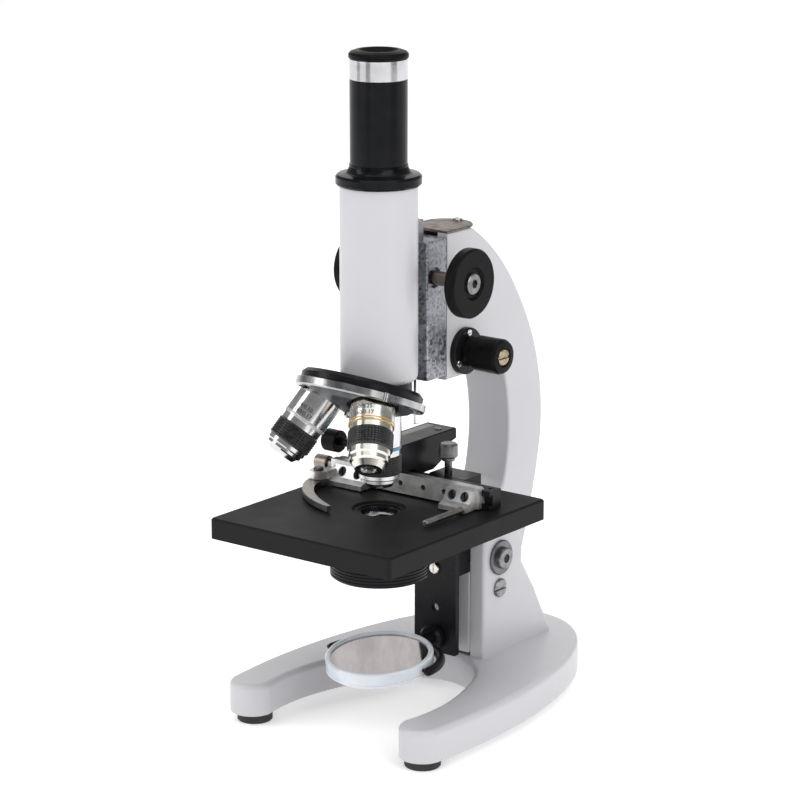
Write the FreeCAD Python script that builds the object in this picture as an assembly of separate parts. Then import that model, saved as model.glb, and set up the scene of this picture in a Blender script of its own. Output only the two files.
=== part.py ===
import FreeCAD, Part
import math
import os
from FreeCAD import Vector as V, Rotation, Placement

# Monocular upright microscope, in millimetres.
# X runs left to right, +Y towards the arm (the back), +Z up from the table.
# Everything is drawn with the optical axis at X = 0, Y = 0, and each finished piece is then
# moved by FRAME_SHIFT_Y, which puts the origin on the table at the centre of the footprint.

# ---- driving dimensions ------------------------------------------------------------------------------
FRAME_SHIFT_Y = -38.5

FOOT_H = 4.8            # rubber foot standing below the base
BASE_TOP = 21.5
TIP_X = 53.0            # centre of a horseshoe prong's round tip
TIP_Y = -35.0
TIP_R = 11.3
BASE_BACK = 140.0
ARCH_Y = 57.0           # apex of the horseshoe's inner edge

ARM_HALF = 13.0         # half the arm's thickness
CHEEK_IN = 13.3
CHEEK_OUT = 21.7
TAIL_FRONT = 57.8
PIVOT_Y = 71.4          # inclination joint
PIVOT_Z = 72.4
PIVOT_R = 4.0
WASHER_T = 1.6
TENSION_Y = 70.9        # slotted friction screw below the pivot
TENSION_Z = 56.4

STAGE_HALF_X = 55.0
STAGE_HALF_Y = 63.0
STAGE_BOTTOM = 100.6
STAGE_TOP = 111.0
STAGE_BOLTS = [(-9, 53), (9, 53)]
APERTURE_R = 10.5

HOLDER_R = 24.4         # condenser sleeve and iris ring
IRIS_TOP = 90.0
IRIS_BOTTOM = 77.0
LEVER_ANGLE = 195       # the iris lever's direction, in degrees from +X
BRACKET_BOTTOM = 66.0

BAR_FRONT = 45.6        # upright bar that carries the mirror
BAR_T = 2.8
BAR_BOTTOM = 24.5
BAR_TOP = 99.0
BAR_SCREWS = [(0, 69.0), (0, 88)]
SPARE_HOLE_R = 2.25
SPARE_HOLE_Z = 48.0
FORK_PIN_R = 3.0
MIRROR_Z = 33.0
MIRROR_R = 27.0
MIRROR_TILT = 6.5       # degrees, towards the front
FORK_R = 30.2           # middle of the fork's half ring
FORK_ROD_R = 2.3

HEAD_FRONT = 37.4       # front face of the arm's head
HEAD_BOTTOM = 170.0
HEAD_TOP = 243.3
BLOCK_FRONT = 21.3
BLOCK_BACK = 37.2
BLOCK_BOTTOM = 172.6
BLOCK_TOP = 241.5

SLOT_HALF = 7.1         # half the width of the fine slide's slot in the arm
COVER_T = 1.2
COVER_BACK = 67.0
COVER_SCREWS = [(0, 63.3)]
FLANGE_T = 3.0
BRACKET_BOLTS = [(-7.5, 80), (7.5, 80)]
FLANGE_SCREWS = [90, 210, 330]
FLANGE_SCREW_R = 9.4

COARSE_Y = 27.2         # pinion shaft of the coarse drive
COARSE_Z = 223.3
KNOB_OUT = 36.8         # outer face of a coarse knob
RAIL_BACK = 24.5
RAIL_BOTTOM = 177.0
RAIL_TOP = 252.0
RACK_BOTTOM = 186.0
RACK_TOP = 246.0
STOP_ROD_Y = 29.5
PINION_TEETH = 10
PINION_PITCH_R = 2.9
FINE_Y = 51.5
FINE_Z = 182.5
FINE_SHAFT_R = 3.0
FINE_KNOB_IN = 16.8     # inner face of a fine knob

TUBE_R = 18.9
TUBE_BOTTOM = 176.0
TUBE_TOP = 271.6
DRAW_R = 13.85
DRAW_TOP = 322.4
EYE_R = 11.6            # 23.2 mm eyepiece barrel
EYE_TOP = 336.0

NOSE_TILT = 22.5        # degrees between the turret's axis and the optical axis
NOSE_APEX_Z = 206.4     # where the objectives' axes meet
SEAT_DIST = 44.0        # apex to an objective's shoulder
TURRET_R = 32.0
THREAD_R = 10.16        # RMS objective thread

BEAM_FRONT = 27.6       # cross slide on the stage
BEAM_BACK = 37.0
BEAM_TOP = 121.0
GUIDE_BOTTOM = 121.1    # fixed front-to-back bar that the cross slide runs under
GUIDE_TOP = 138.6
GUIDE_LEFT = -18.0
HOLDER_T = 2.6
HOLDER_GAP = 0.3        # between the beam and the slide holder's plate
HOLDER_HOLES = [-6, 8, 21]
HOLDER_HOLE_Z = 117.3
CLAMP_DEPTH = 9.2
CLAMP_TOP = 121.2
LEFT_SCREWS = [-39.8, -30.2]
RIGHT_SCREWS = [28.6, 36.2]
CLAMP_SCREW_Z = 118.2
CLAMP_SCREW_R = 1.2
CLAW_BOTTOM = 111.7
CLAW_T = 2.9
CLAW_PIN_R = 1.5
THUMB_X = 10.0
THUMB_Y = 43.0
Y_KNOB_Y = 35.0
KNOB_Z = 128.5
Y_SHAFT_R = 2.0
X_SHAFT_Y = 33.4
X_SHAFT_Z = 116.6
CLAW_X = -49.5
CLAW_Y = 14.0

FIT = 0.06              # radial clearance of a running fit

X = V(1, 0, 0)
Y = V(0, 1, 0)
Z = V(0, 0, 1)


# ---- helpers -----------------------------------------------------------------------------------------
def cyl(r, h, at, d=Z):
    return Part.makeCylinder(r, h, V(*at), d)


def ring(r_out, r_in, h, at, d=Z):
    return cyl(r_out, h, at, d).cut(cyl(r_in, h, at, d))


def box(x0, x1, y0, y1, z0, z1):
    return Part.makeBox(x1 - x0, y1 - y0, z1 - z0, V(x0, y0, z0))


def fuse(*shapes):
    whole = shapes[0].multiFuse(list(shapes[1:]))
    return whole.removeSplitter()


def group(shapes):
    return Part.makeCompound(shapes)


def both_sides(make):
    """The same piece on the right (+1) and on the left (-1)."""
    return group([make(side) for side in (1, -1)])


def turned(profile, at=(0, 0, 0), d=Z):
    """Turns a closed outline of (radius, height) points about the axis d through at."""
    points = [V(r, 0, s) for r, s in profile]
    face = Part.Face(Part.makePolygon(points + [points[0]]))
    body = face.revolve(V(0, 0, 0), Z, 360)
    solid = Part.Solid(body.Shells[0]) if not body.Solids else body.Solids[0]
    if solid.Volume < 0:
        solid.reverse()
    solid.Placement = Placement(V(*at), Rotation(Z, V(*d)))
    return solid


def plate_x(points, x0, x1):
    """A flat plate with its outline in Y and Z."""
    wire = Part.makePolygon([V(x0, y, z) for y, z in points + points[:1]])
    return Part.Face(wire).extrude(V(x1 - x0, 0, 0))


def plate_z(points, z0, z1):
    """A flat plate with its outline in X and Y."""
    wire = Part.makePolygon([V(x, y, z0) for x, y in points + points[:1]])
    return Part.Face(wire).extrude(V(0, 0, z1 - z0))


def curve(points, start=None, end=None):
    """Smooth curve through the points, with the direction at each end if it is given."""
    spline = Part.BSplineCurve()
    points = [V(*p) for p in points]
    if start is None:
        spline.interpolate(Points=points)
    else:
        spline.interpolate(Points=points, InitialTangent=start, FinalTangent=end)
    return spline.toShape()


def line(a, b):
    return Part.makeLine(V(*a), V(*b))


def arc(a, b, c):
    return Part.Arc(V(*a), V(*b), V(*c)).toShape()


def rounded(shape, radius, pick):
    edges = [e for e in shape.Edges if pick(e)]
    return shape.makeFillet(radius, edges)


def mid(edge):
    return edge.valueAt((edge.FirstParameter + edge.LastParameter) / 2)


def in_plane(edge, axis, value, tol=0.01):
    lo = getattr(edge.BoundBox, axis + "Min")
    hi = getattr(edge.BoundBox, axis + "Max")
    return abs(lo - value) < tol and abs(hi - value) < tol


def along(edge, d):
    if not isinstance(edge.Curve, Part.Line):
        return False
    return abs(edge.tangentAt(edge.FirstParameter).dot(d)) > 0.999


def slotted_screw(head_r, head_h, shank_r, shank_l, at, d, slot=True):
    """Head standing on the face at `at`, pointing along d, shank going the other way."""
    d = V(*d)
    at = V(*at)
    head = Part.makeCylinder(head_r, head_h, at, d)
    rim = [e for e in head.Edges if abs((mid(e) - at).dot(d) - head_h) < 1e-3 and e.isClosed()]
    head = head.makeChamfer(min(head_h, head_r) * 0.3, rim)
    screw = fuse(head, Part.makeCylinder(shank_r, shank_l, at, -d))
    if slot:
        side = d.cross(X if abs(d.dot(X)) < 0.9 else Z)
        cut = Part.makeBox(head_r * 3, head_r * 0.36, head_h, V(-head_r * 1.5, -head_r * 0.18, 0))
        cut.Placement = Placement(at + d * (head_h * 0.5), Rotation(side, V(0, 0, 0), d, "ZXY"))
        screw = screw.cut(cut)
    return screw


# ---- stand -------------------------------------------------------------------------------------------
FEET = [(52.5, -34.0), (-52.5, -34.0), (27.0, 114.0), (-27.0, 114.0)]
PILLAR_BOLTS = [(0, 106.0), (17.5, 68.0), (-17.5, 68.0)]
BOLT_SINK = 7.5         # depth of the wells that their heads stand in
BOLT_HOLE = 13.0        # depth of their holes in the pillar


def base_casting():
    outer = [(64.3, -35, 0), (66.4, 6, 0), (61.5, 56, 0), (46, 105.5, 0), (19.5, 135.5, 0)]
    outer += [(0, BASE_BACK, 0)] + [(-x, y, z) for x, y, z in reversed(outer)]
    inner = [(41.7, -35, 0), (43.3, -8, 0), (38, 18, 0), (24.5, 45, 0)]
    inner += [(0, ARCH_Y, 0)] + [(-x, y, z) for x, y, z in reversed(inner)]
    tip = TIP_Y - TIP_R
    wire = Part.Wire([curve(outer),
                      arc(outer[-1], (-TIP_X, tip, 0), inner[-1]),
                      curve(inner[::-1]),
                      arc(inner[0], (TIP_X, tip, 0), outer[0])])
    slab = Part.Face(wire).extrude(V(0, 0, BASE_TOP - FOOT_H))
    slab.translate(V(0, 0, FOOT_H))
    slab = rounded(slab, 3.0, lambda e: in_plane(e, "Z", BASE_TOP))
    slab = rounded(slab, 1.2, lambda e: in_plane(e, "Z", FOOT_H))
    for x, y in FEET:
        slab = slab.cut(cyl(2.0, 10, (x, y, FOOT_H)))
    for x, y in PILLAR_BOLTS:
        slab = slab.cut(cyl(6.0, BOLT_SINK, (x, y, FOOT_H)))
        slab = slab.cut(cyl(3.1, 20, (x, y, FOOT_H)))
    return slab


def rubber_feet():
    profile = [(2.0, FOOT_H), (2.0, 1.4), (4.6, 1.4), (4.6, 0), (8.2, 0), (8.85, 0.7), (8.85, FOOT_H)]
    return group([turned(profile, (x, y, 0)) for x, y in FEET])


def foot_screws():
    profile = [(0, 1.4), (0, 0.5), (3.0, 0.5), (4.1, 1.4), (1.95, 1.4), (1.95, 12.4), (0, 12.4)]
    return group([turned(profile, (x, y, 0)) for x, y in FEET])


def pillar_bolts():
    shank = BASE_TOP + BOLT_HOLE - 0.5 - FOOT_H - BOLT_SINK

    def bolt(x, y):
        head = cyl(5.0, 5.0, (x, y, FOOT_H + 2.5))
        socket = cyl(2.4, 2.6, (x, y, FOOT_H + 2.5))
        return fuse(head, cyl(3.0, shank, (x, y, FOOT_H + BOLT_SINK))).cut(socket)
    return group([bolt(x, y) for x, y in PILLAR_BOLTS])


def pillar():
    """Two cheeks that stand on the base and hold the arm between them."""
    r = 20.0
    front_z = PIVOT_Z + math.sqrt(r ** 2 - (PIVOT_Y - TAIL_FRONT) ** 2)

    def cheek(side):
        x = CHEEK_IN * side
        pts = [(x, TAIL_FRONT, BASE_TOP), (x, TAIL_FRONT, front_z), (x, PIVOT_Y + r, PIVOT_Z)]
        wire = Part.Wire([line(pts[0], pts[1]),
                          arc(pts[1], (x, PIVOT_Y, PIVOT_Z + r), pts[2]),
                          line(pts[2], (x, PIVOT_Y + r - 0.4, 66.0)),
                          line((x, PIVOT_Y + r - 0.4, 66.0), (x, 102.6, 48.5)),
                          line((x, 102.6, 48.5), (x, 117.4, BASE_TOP)),
                          line((x, 117.4, BASE_TOP), pts[0])])
        slab = Part.Face(wire).extrude(V((CHEEK_OUT - CHEEK_IN) * side, 0, 0))
        outer = CHEEK_OUT * side
        return rounded(slab, 1.6, lambda e: in_plane(e, "X", outer) and not in_plane(e, "Z", BASE_TOP))

    web = plate_x([(99, BASE_TOP), (116.6, BASE_TOP), (109.5, 35), (99, 35)], -CHEEK_IN, CHEEK_IN)
    whole = fuse(cheek(1), cheek(-1), web)
    whole = whole.cut(cyl(PIVOT_R + 0.05, 60, (-30, PIVOT_Y, PIVOT_Z), X))
    for x, y in PILLAR_BOLTS:
        whole = whole.cut(cyl(3.03, BOLT_HOLE, (x, y, BASE_TOP)))
    return whole.cut(cyl(2.5, 60, (-30, TENSION_Y, TENSION_Z), X))


def pivot_washers():
    def washer(side):
        disc = cyl(9.0, WASHER_T, (CHEEK_OUT * side, PIVOT_Y, PIVOT_Z), X * side)
        outer = (CHEEK_OUT + WASHER_T) * side
        disc = disc.makeChamfer(0.4, [e for e in disc.Edges if in_plane(e, "X", outer)])
        return disc.cut(cyl(PIVOT_R + 0.05, 60, (-30, PIVOT_Y, PIVOT_Z), X))
    return both_sides(washer)


def pivot_bolt():
    face = CHEEK_OUT + WASHER_T
    shaft = cyl(PIVOT_R, 2 * face + 3.4, (-face - 3.4, PIVOT_Y, PIVOT_Z), X)
    head = cyl(5.6, 2.6, (face, PIVOT_Y, PIVOT_Z), X)
    head = head.makeFillet(0.8, [e for e in head.Edges if in_plane(e, "X", face + 2.6)])
    socket = Part.makeCylinder(2.3, 1.8, V(face + 0.8, PIVOT_Y, PIVOT_Z), X)
    return fuse(shaft, head).cut(socket)


def pivot_nut():
    face = CHEEK_OUT + WASHER_T
    corners = [V(-face, PIVOT_Y + 6.6 * math.cos(a), PIVOT_Z + 6.6 * math.sin(a))
               for a in [i * math.pi / 3 for i in range(6)]]
    nut = Part.Face(Part.makePolygon(corners + corners[:1])).extrude(V(-3.2, 0, 0))
    return nut.cut(cyl(PIVOT_R + 0.02, 60, (-40, PIVOT_Y, PIVOT_Z), X))


def tension_screws():
    """Slotted screws, one in each cheek, that press friction pads on the arm."""
    def screw(side):
        return slotted_screw(4.8, 1.5, 2.45, CHEEK_OUT - CHEEK_IN - 0.4,
                             (CHEEK_OUT * side, TENSION_Y, TENSION_Z), X * side)
    return both_sides(screw)


# ---- arm ---------------------------------------------------------------------------------------------
def arm_casting():
    x = -ARM_HALF
    tail = 23.2
    back = [(58, HEAD_TOP), (69.4, 235.6), (86.9, 219.1), (100.8, 199.4), (111.4, 178.6), (117.6, 157),
            (119.5, 134), (116.1, 110.4), (106, 75.8), (94.5, 44), (84.5, tail)]
    throat_low = (84.0, STAGE_BOTTOM)
    throat_high = (84.0, HEAD_BOTTOM)
    path = [line((x, HEAD_FRONT, HEAD_BOTTOM), (x, HEAD_FRONT, HEAD_TOP)),
            line((x, HEAD_FRONT, HEAD_TOP), (x, *back[0])),
            curve([(x, *p) for p in back]),
            line((x, *back[-1]), (x, TAIL_FRONT, tail)),
            line((x, TAIL_FRONT, tail), (x, TAIL_FRONT, STAGE_BOTTOM)),
            line((x, TAIL_FRONT, STAGE_BOTTOM), (x, *throat_low)),
            arc((x, *throat_low), (x, 90.5, 137.5), (x, *throat_high)),
            line((x, *throat_high), (x, HEAD_FRONT, HEAD_BOTTOM))]
    body = Part.Face(Part.Wire(path)).extrude(V(2 * ARM_HALF, 0, 0))
    for (y, z), radius in ((back[0], 9), (throat_low, 10), (throat_high, 9), (back[-1], 5)):
        body = rounded(body, radius, lambda e: along(e, X) and math.hypot(mid(e).y - y, mid(e).z - z) < 0.1)

    def side_edge(e):
        flat = in_plane(e, "X", ARM_HALF) or in_plane(e, "X", -ARM_HALF)
        return flat and not in_plane(e, "Y", HEAD_FRONT)
    body = rounded(body, 1.3, side_edge)
    slide_slot = box(-SLOT_HALF, SLOT_HALF, HEAD_FRONT, 43.6, HEAD_BOTTOM - 2, HEAD_TOP)
    cavity = box(-8, 8, 43.6, 61, 175, HEAD_TOP)
    body = body.cut(fuse(slide_slot, cavity))
    body = body.cut(cyl(FINE_SHAFT_R + FIT, 40, (-20, FINE_Y, FINE_Z), X))
    body = body.cut(cyl(PIVOT_R + FIT, 40, (-20, PIVOT_Y, PIVOT_Z), X))
    for px, py in COVER_SCREWS:
        body = body.cut(cyl(1.25, 9, (px, py, HEAD_TOP - 9)))
    for px, pz in BRACKET_BOLTS:
        body = body.cut(cyl(2.0, 12, (px, TAIL_FRONT, pz), Y))
    for side in (1, -1):
        for a in FLANGE_SCREWS:
            body = body.cut(cyl(1.0, 5, flange_point(side, a, ARM_HALF), X * -side))
    return body


def flange_point(side, degrees, x):
    a = math.radians(degrees)
    return (x * side, FINE_Y + FLANGE_SCREW_R * math.cos(a), FINE_Z + FLANGE_SCREW_R * math.sin(a))


def cover_plate():
    """Plate over the top of the arm's head, with a round back end."""
    y1 = COVER_BACK - ARM_HALF
    z = HEAD_TOP
    wire = Part.Wire([line((-ARM_HALF, HEAD_FRONT, z), (ARM_HALF, HEAD_FRONT, z)),
                      line((ARM_HALF, HEAD_FRONT, z), (ARM_HALF, y1, z)),
                      arc((ARM_HALF, y1, z), (0, COVER_BACK, z), (-ARM_HALF, y1, z)),
                      line((-ARM_HALF, y1, z), (-ARM_HALF, HEAD_FRONT, z))])
    plate = Part.Face(wire).extrude(V(0, 0, COVER_T))
    plate = plate.makeChamfer(0.3, [e for e in plate.Edges if in_plane(e, "Z", z + COVER_T)])
    for x, y in COVER_SCREWS:
        plate = plate.cut(cyl(1.3, 5, (x, y, z - 1)))
    return plate


def cover_screws():
    return group([slotted_screw(2.5, 1.1, 1.2, 8, (x, y, HEAD_TOP + COVER_T), Z)
                  for x, y in COVER_SCREWS])


def fine_flanges():
    def flange(side):
        disc = cyl(11.75, FLANGE_T, (ARM_HALF * side, FINE_Y, FINE_Z), X * side)
        outer = (ARM_HALF + FLANGE_T) * side
        disc = disc.makeFillet(0.8, [e for e in disc.Edges if in_plane(e, "X", outer)])
        disc = disc.cut(cyl(FINE_SHAFT_R + FIT, 60, (-30, FINE_Y, FINE_Z), X))
        for a in FLANGE_SCREWS:
            disc = disc.cut(cyl(1.05, 8, flange_point(side, a, ARM_HALF - 1), X * side))
        return disc
    return both_sides(flange)


def flange_screws():
    return group([slotted_screw(1.7, 0.8, 0.95, FLANGE_T + 3.5, flange_point(side, a, ARM_HALF + FLANGE_T),
                                X * side) for side in (1, -1) for a in FLANGE_SCREWS])


# ---- stage and what hangs below it -------------------------------------------------------------------
def stage_plate():
    plate = box(-STAGE_HALF_X, STAGE_HALF_X, -STAGE_HALF_Y, STAGE_HALF_Y, STAGE_BOTTOM, STAGE_TOP)
    plate = rounded(plate, 1.8, lambda e: along(e, Z))
    plate = plate.makeChamfer(0.9, [e for e in plate.Edges if in_plane(e, "Z", STAGE_TOP)])
    plate = plate.cut(cyl(APERTURE_R, 20, (0, 0, STAGE_BOTTOM - 1)))
    plate = plate.cut(turned([(0, STAGE_TOP - 1.0), (12.6, STAGE_TOP - 1.0), (13.6, STAGE_TOP + 0.1),
                              (0, STAGE_TOP + 0.1)]))
    for x, y in STAGE_BOLTS:
        plate = plate.cut(cyl(2.0, 7, (x, y, STAGE_BOTTOM)))
    return plate


def stage_bracket():
    """Block that carries the stage on the front of the arm's tail."""
    block = box(-ARM_HALF, ARM_HALF, BAR_FRONT + BAR_T, TAIL_FRONT, BRACKET_BOTTOM, STAGE_BOTTOM)
    block = rounded(block, 0.8, lambda e: in_plane(e, "Z", BRACKET_BOTTOM))
    for x, z in BRACKET_BOLTS:
        block = block.cut(cyl(2.1, 30, (x, 40, z), Y))
        block = block.cut(cyl(3.6, 2.8, (x, BAR_FRONT + BAR_T, z), Y))
    for x, y in STAGE_BOLTS:
        block = block.cut(cyl(2.05, 12, (x, y, STAGE_BOTTOM - 12)))
    for x, z in BAR_SCREWS:
        block = block.cut(cyl(1.5, 6, (x, BAR_FRONT + BAR_T, z), Y))
    return block


def stage_bolts():
    return group([cyl(1.9, 16, (x, y, STAGE_BOTTOM - 10)) for x, y in STAGE_BOLTS])


def bracket_bolts():
    def bolt(x, z):
        head = cyl(3.4, 2.6, (x, BAR_FRONT + BAR_T, z), Y)
        return fuse(head, cyl(1.95, 18, (x, BAR_FRONT + BAR_T, z), Y))
    return group([bolt(x, z) for x, z in BRACKET_BOLTS])


def mirror_bar():
    bar = box(-ARM_HALF, ARM_HALF, BAR_FRONT, BAR_FRONT + BAR_T, BAR_BOTTOM, BAR_TOP)
    bar = rounded(bar, 0.8, lambda e: along(e, Y) and e.BoundBox.ZMax < BAR_BOTTOM + 1)
    bar = bar.cut(cyl(SPARE_HOLE_R, 10, (0, 40, SPARE_HOLE_Z), Y))
    bar = bar.cut(cyl(FORK_PIN_R + FIT, 10, (0, 40, MIRROR_Z), Y))
    for x, z in BAR_SCREWS:
        bar = bar.cut(cyl(1.55, 10, (x, 40, z), Y))
    return bar


def bar_screws():
    return group([slotted_screw(2.9, 1.5, 1.45, BAR_T + 5, (x, BAR_FRONT, z), -Y) for x, z in BAR_SCREWS])


def condenser_sleeve():
    """Black sleeve under the stage with the condenser's mount in its middle."""
    sleeve = ring(HOLDER_R, 19.5, STAGE_BOTTOM - IRIS_TOP, (0, 0, IRIS_TOP))
    return sleeve.cut(box(-30, 30, BAR_FRONT, 60, 60, STAGE_BOTTOM))


def condenser_mount():
    profile = [(9.1, 94), (19.4, 94), (19.4, 97.5), (10.4, 97.5), (10.4, 109.4), (9.4, 109.4), (9.1, 108.8)]
    return turned(profile)


def condenser_lens():
    """Glass with a gently domed top."""
    r = 9.05
    rise = 1.5
    radius = (r ** 2 + rise ** 2) / (2 * rise)
    dome = Part.makeSphere(radius, V(0, 0, 108.6 - radius))
    return cyl(r, 12, (0, 0, 98)).common(dome)


def iris_ring():
    """Turning ring with fine grooves around its rim."""
    z = IRIS_BOTTOM
    profile = [(20.4, z + 3), (12, z + 3), (12, z), (HOLDER_R - 1.4, z)]
    top = IRIS_TOP - 0.3
    pitch = (top - z) / 8
    profile.append((HOLDER_R - 0.6, z + 0.6))
    for i in range(1, 8):
        profile += [(HOLDER_R, z + i * pitch - 0.45), (HOLDER_R, z + i * pitch + 0.45),
                    (HOLDER_R - 0.45, z + i * pitch + 0.6)]
        if i < 7:
            profile.append((HOLDER_R - 0.45, z + (i + 1) * pitch - 0.6))
    profile += [(HOLDER_R - 0.45, top), (20.4, top)]
    return turned(profile).cut(cyl(1.25, 6, lever_point(20.0), lever_dir()))


def lever_dir():
    a = math.radians(LEVER_ANGLE)
    return V(math.cos(a), math.sin(a), 0)


def lever_point(r):
    p = lever_dir() * r
    return (p.x, p.y, IRIS_TOP - 5)


def iris_lever():
    stem = cyl(1.2, 4.5, lever_point(20.6), lever_dir())
    return fuse(stem, cyl(1.9, 3.2, lever_point(25.0), lever_dir()))


# ---- mirror ------------------------------------------------------------------------------------------
def mirror_fork():
    """Half ring round the back of the mirror on a stem that turns in the upright bar."""
    half = Part.makeTorus(FORK_R, FORK_ROD_R, V(0, 0, MIRROR_Z)).common(box(-40, 40, 0, 40, 0, 60))
    ends = [Part.makeSphere(FORK_ROD_R, V(x, 0, MIRROR_Z)) for x in (FORK_R, -FORK_R)]
    stem = cyl(3.4, BAR_FRONT - 0.3 - FORK_R, (0, FORK_R, MIRROR_Z), Y)
    hub = turned([(0, 0), (6.0, 0), (6.5, 0.6), (6.5, 3.4), (5.2, 5.0), (0, 5.0)],
                 (0, BAR_FRONT - 0.3, MIRROR_Z), -Y)
    pin = cyl(FORK_PIN_R, BAR_T + 4.2, (0, BAR_FRONT - 0.5, MIRROR_Z), Y)
    fork = fuse(half, *ends, stem, hub, pin)
    return fork.cut(cyl(1.3, 80, (-40, 0, MIRROR_Z), X))


def fork_nut():
    at = (0, BAR_FRONT + BAR_T + 0.3, MIRROR_Z)
    return ring(5.4, FORK_PIN_R, 2.4, at, Y)


def tilt(shape):
    shape.rotate(V(0, 0, MIRROR_Z), X, MIRROR_TILT)
    return shape


def mirror_frame():
    z = MIRROR_Z
    profile = [(MIRROR_R - 2.6, z - 4), (MIRROR_R - 0.8, z - 4), (MIRROR_R, z - 3.2), (MIRROR_R, z + 3.4),
               (MIRROR_R - 0.6, z + 4), (MIRROR_R - 1.6, z + 4), (MIRROR_R - 2.6, z + 3.2)]
    frame = tilt(turned(profile))
    return frame.cut(cyl(1.0, 80, (-40, 0, z), X))


def mirror_glass(z0, thickness):
    return tilt(cyl(MIRROR_R - 2.65, thickness, (0, 0, MIRROR_Z + z0)))


def mirror_flat():
    return mirror_glass(0.6, 1.9)


def mirror_concave():
    disc = cyl(MIRROR_R - 2.65, 3.4, (0, 0, MIRROR_Z - 3.4))
    bowl = Part.makeSphere(150, V(0, 0, MIRROR_Z - 1.4 - 150))
    return tilt(disc.cut(bowl))


def mirror_pivots():
    """Small screws through the fork's ends that the mirror turns on."""
    def pivot(side):
        point = cyl(0.95, 8.0, ((MIRROR_R - 2.2) * side, 0, MIRROR_Z), X * side)
        return fuse(point, cyl(1.25, 3.6, ((FORK_R - 1.6) * side, 0, MIRROR_Z), X * side))
    return both_sides(pivot)


# ---- focusing ----------------------------------------------------------------------------------------
def dovetail(grow, y0, y1, z0, z1):
    """Upright dovetail rail, wider at the back; grow is the clearance on each side."""
    front = 6.4 + grow
    back = front + (y1 - BLOCK_FRONT) * 0.56
    pts = [(-front, y0), (front, y0), (front, BLOCK_FRONT), (back, y1), (-back, y1), (-front, BLOCK_FRONT)]
    return plate_z(pts, z0, z1)


def focus_block():
    block = box(-ARM_HALF, ARM_HALF, BLOCK_FRONT, BLOCK_BACK, BLOCK_BOTTOM, BLOCK_TOP)
    block = rounded(block, 0.8, lambda e: along(e, Z) or in_plane(e, "Z", BLOCK_TOP))
    tongue = box(-SLOT_HALF + 0.08, SLOT_HALF - 0.08, BLOCK_BACK - 0.5, 43.2, BLOCK_BOTTOM, BLOCK_TOP - 1)
    block = fuse(block, tongue)
    block = block.cut(dovetail(0.08, BLOCK_FRONT - 5, RAIL_BACK + 0.3, BLOCK_BOTTOM - 1, BLOCK_TOP + 1))
    block = block.cut(cyl(3.5 + FIT, 40, (-20, COARSE_Y, COARSE_Z), X))
    block = block.cut(cyl(4.4, 18.4, (-9.2, COARSE_Y, COARSE_Z), X))
    for side in (1, -1):
        block = block.cut(cyl(5.2, 1.6, ((ARM_HALF - 1.6) * side, COARSE_Y, COARSE_Z), X * side))
    return block.cut(cyl(1.4, 8, (0, STOP_ROD_Y, BLOCK_BOTTOM)))


def stop_rod():
    """Upright rod below the block that keeps the tube from being wound too far down."""
    end = BLOCK_BOTTOM - 25
    rod = fuse(cyl(1.75, 25, (0, STOP_ROD_Y, end)), cyl(1.35, 7, (0, STOP_ROD_Y, BLOCK_BOTTOM)))
    return rod.makeChamfer(0.4, [e for e in rod.Edges if in_plane(e, "Z", end)])


def gear(teeth, pitch_r, depth, width, fullness=0.42):
    """Spur gear along X about the origin, with straight flanks tapered towards the tips."""
    step = 2 * math.pi / teeth
    pts = []
    for i in range(teeth):
        a = i * step
        for r, half in ((pitch_r - depth, fullness * 0.62), (pitch_r + depth * 0.8, fullness * 0.22)):
            pts.append((r, a - half * step))
        for r, half in ((pitch_r + depth * 0.8, fullness * 0.22), (pitch_r - depth, fullness * 0.62)):
            pts.append((r, a + half * step))
    ring_pts = [V(-width / 2, r * math.cos(a), r * math.sin(a)) for r, a in pts]
    return Part.Face(Part.makePolygon(ring_pts + ring_pts[:1])).extrude(V(width, 0, 0))


def coarse_shaft():
    """Pinion shaft, thin in the middle, with the pinion cut on it."""
    thin = cyl(1.9, 18, (-9, COARSE_Y, COARSE_Z), X)
    ends = [cyl(3.5, KNOB_OUT - 4.4 - 9, (9 * s, COARSE_Y, COARSE_Z), X * s) for s in (1, -1)]
    pinion = gear(PINION_TEETH, PINION_PITCH_R, 0.55, 5.0)
    pinion.translate(V(0, COARSE_Y, COARSE_Z))
    shaft = fuse(thin, pinion, *ends)
    for side in (1, -1):
        shaft = shaft.cut(cyl(2.0, 27, (23 * side, COARSE_Y, COARSE_Z), X * side))
    return shaft


def coarse_knob(side):
    """Disc knob with a hub towards the block and a round recess for its screw."""
    profile = [(3.52, 0), (6.0, 0), (7.5, 1.0), (7.5, 5.2), (16.2, 5.2), (17.0, 6.0), (17.0, 10.2),
               (16.2, 11.2), (8.2, 11.2), (7.2, 9.9), (3.52, 9.9)]
    return turned(profile, ((KNOB_OUT - 11.2) * side, COARSE_Y, COARSE_Z), X * side)


def coarse_screw(side):
    start = KNOB_OUT - 4.4
    profile = [(0, -9), (1.95, -9), (1.95, 0), (3.4, 0), (3.4, 3.12), (5.15, 3.12), (5.15, 4.2),
               (4.6, 4.7), (0, 4.7)]
    screw = turned(profile, (start * side, COARSE_Y, COARSE_Z), X * side)
    hexagon = [V((start + 2.4) * side, COARSE_Y + 2.3 * math.cos(i * math.pi / 3),
                 COARSE_Z + 2.3 * math.sin(i * math.pi / 3)) for i in range(6)]
    socket = Part.Face(Part.makePolygon(hexagon + hexagon[:1])).extrude(X * (4 * side))
    return screw.cut(socket)


def fine_shaft():
    shaft = cyl(FINE_SHAFT_R, 2 * FINE_KNOB_IN + 14, (-FINE_KNOB_IN - 7, FINE_Y, FINE_Z), X)
    return fuse(shaft, cyl(6.2, 10, (-5, FINE_Y, FINE_Z), X))


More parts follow.
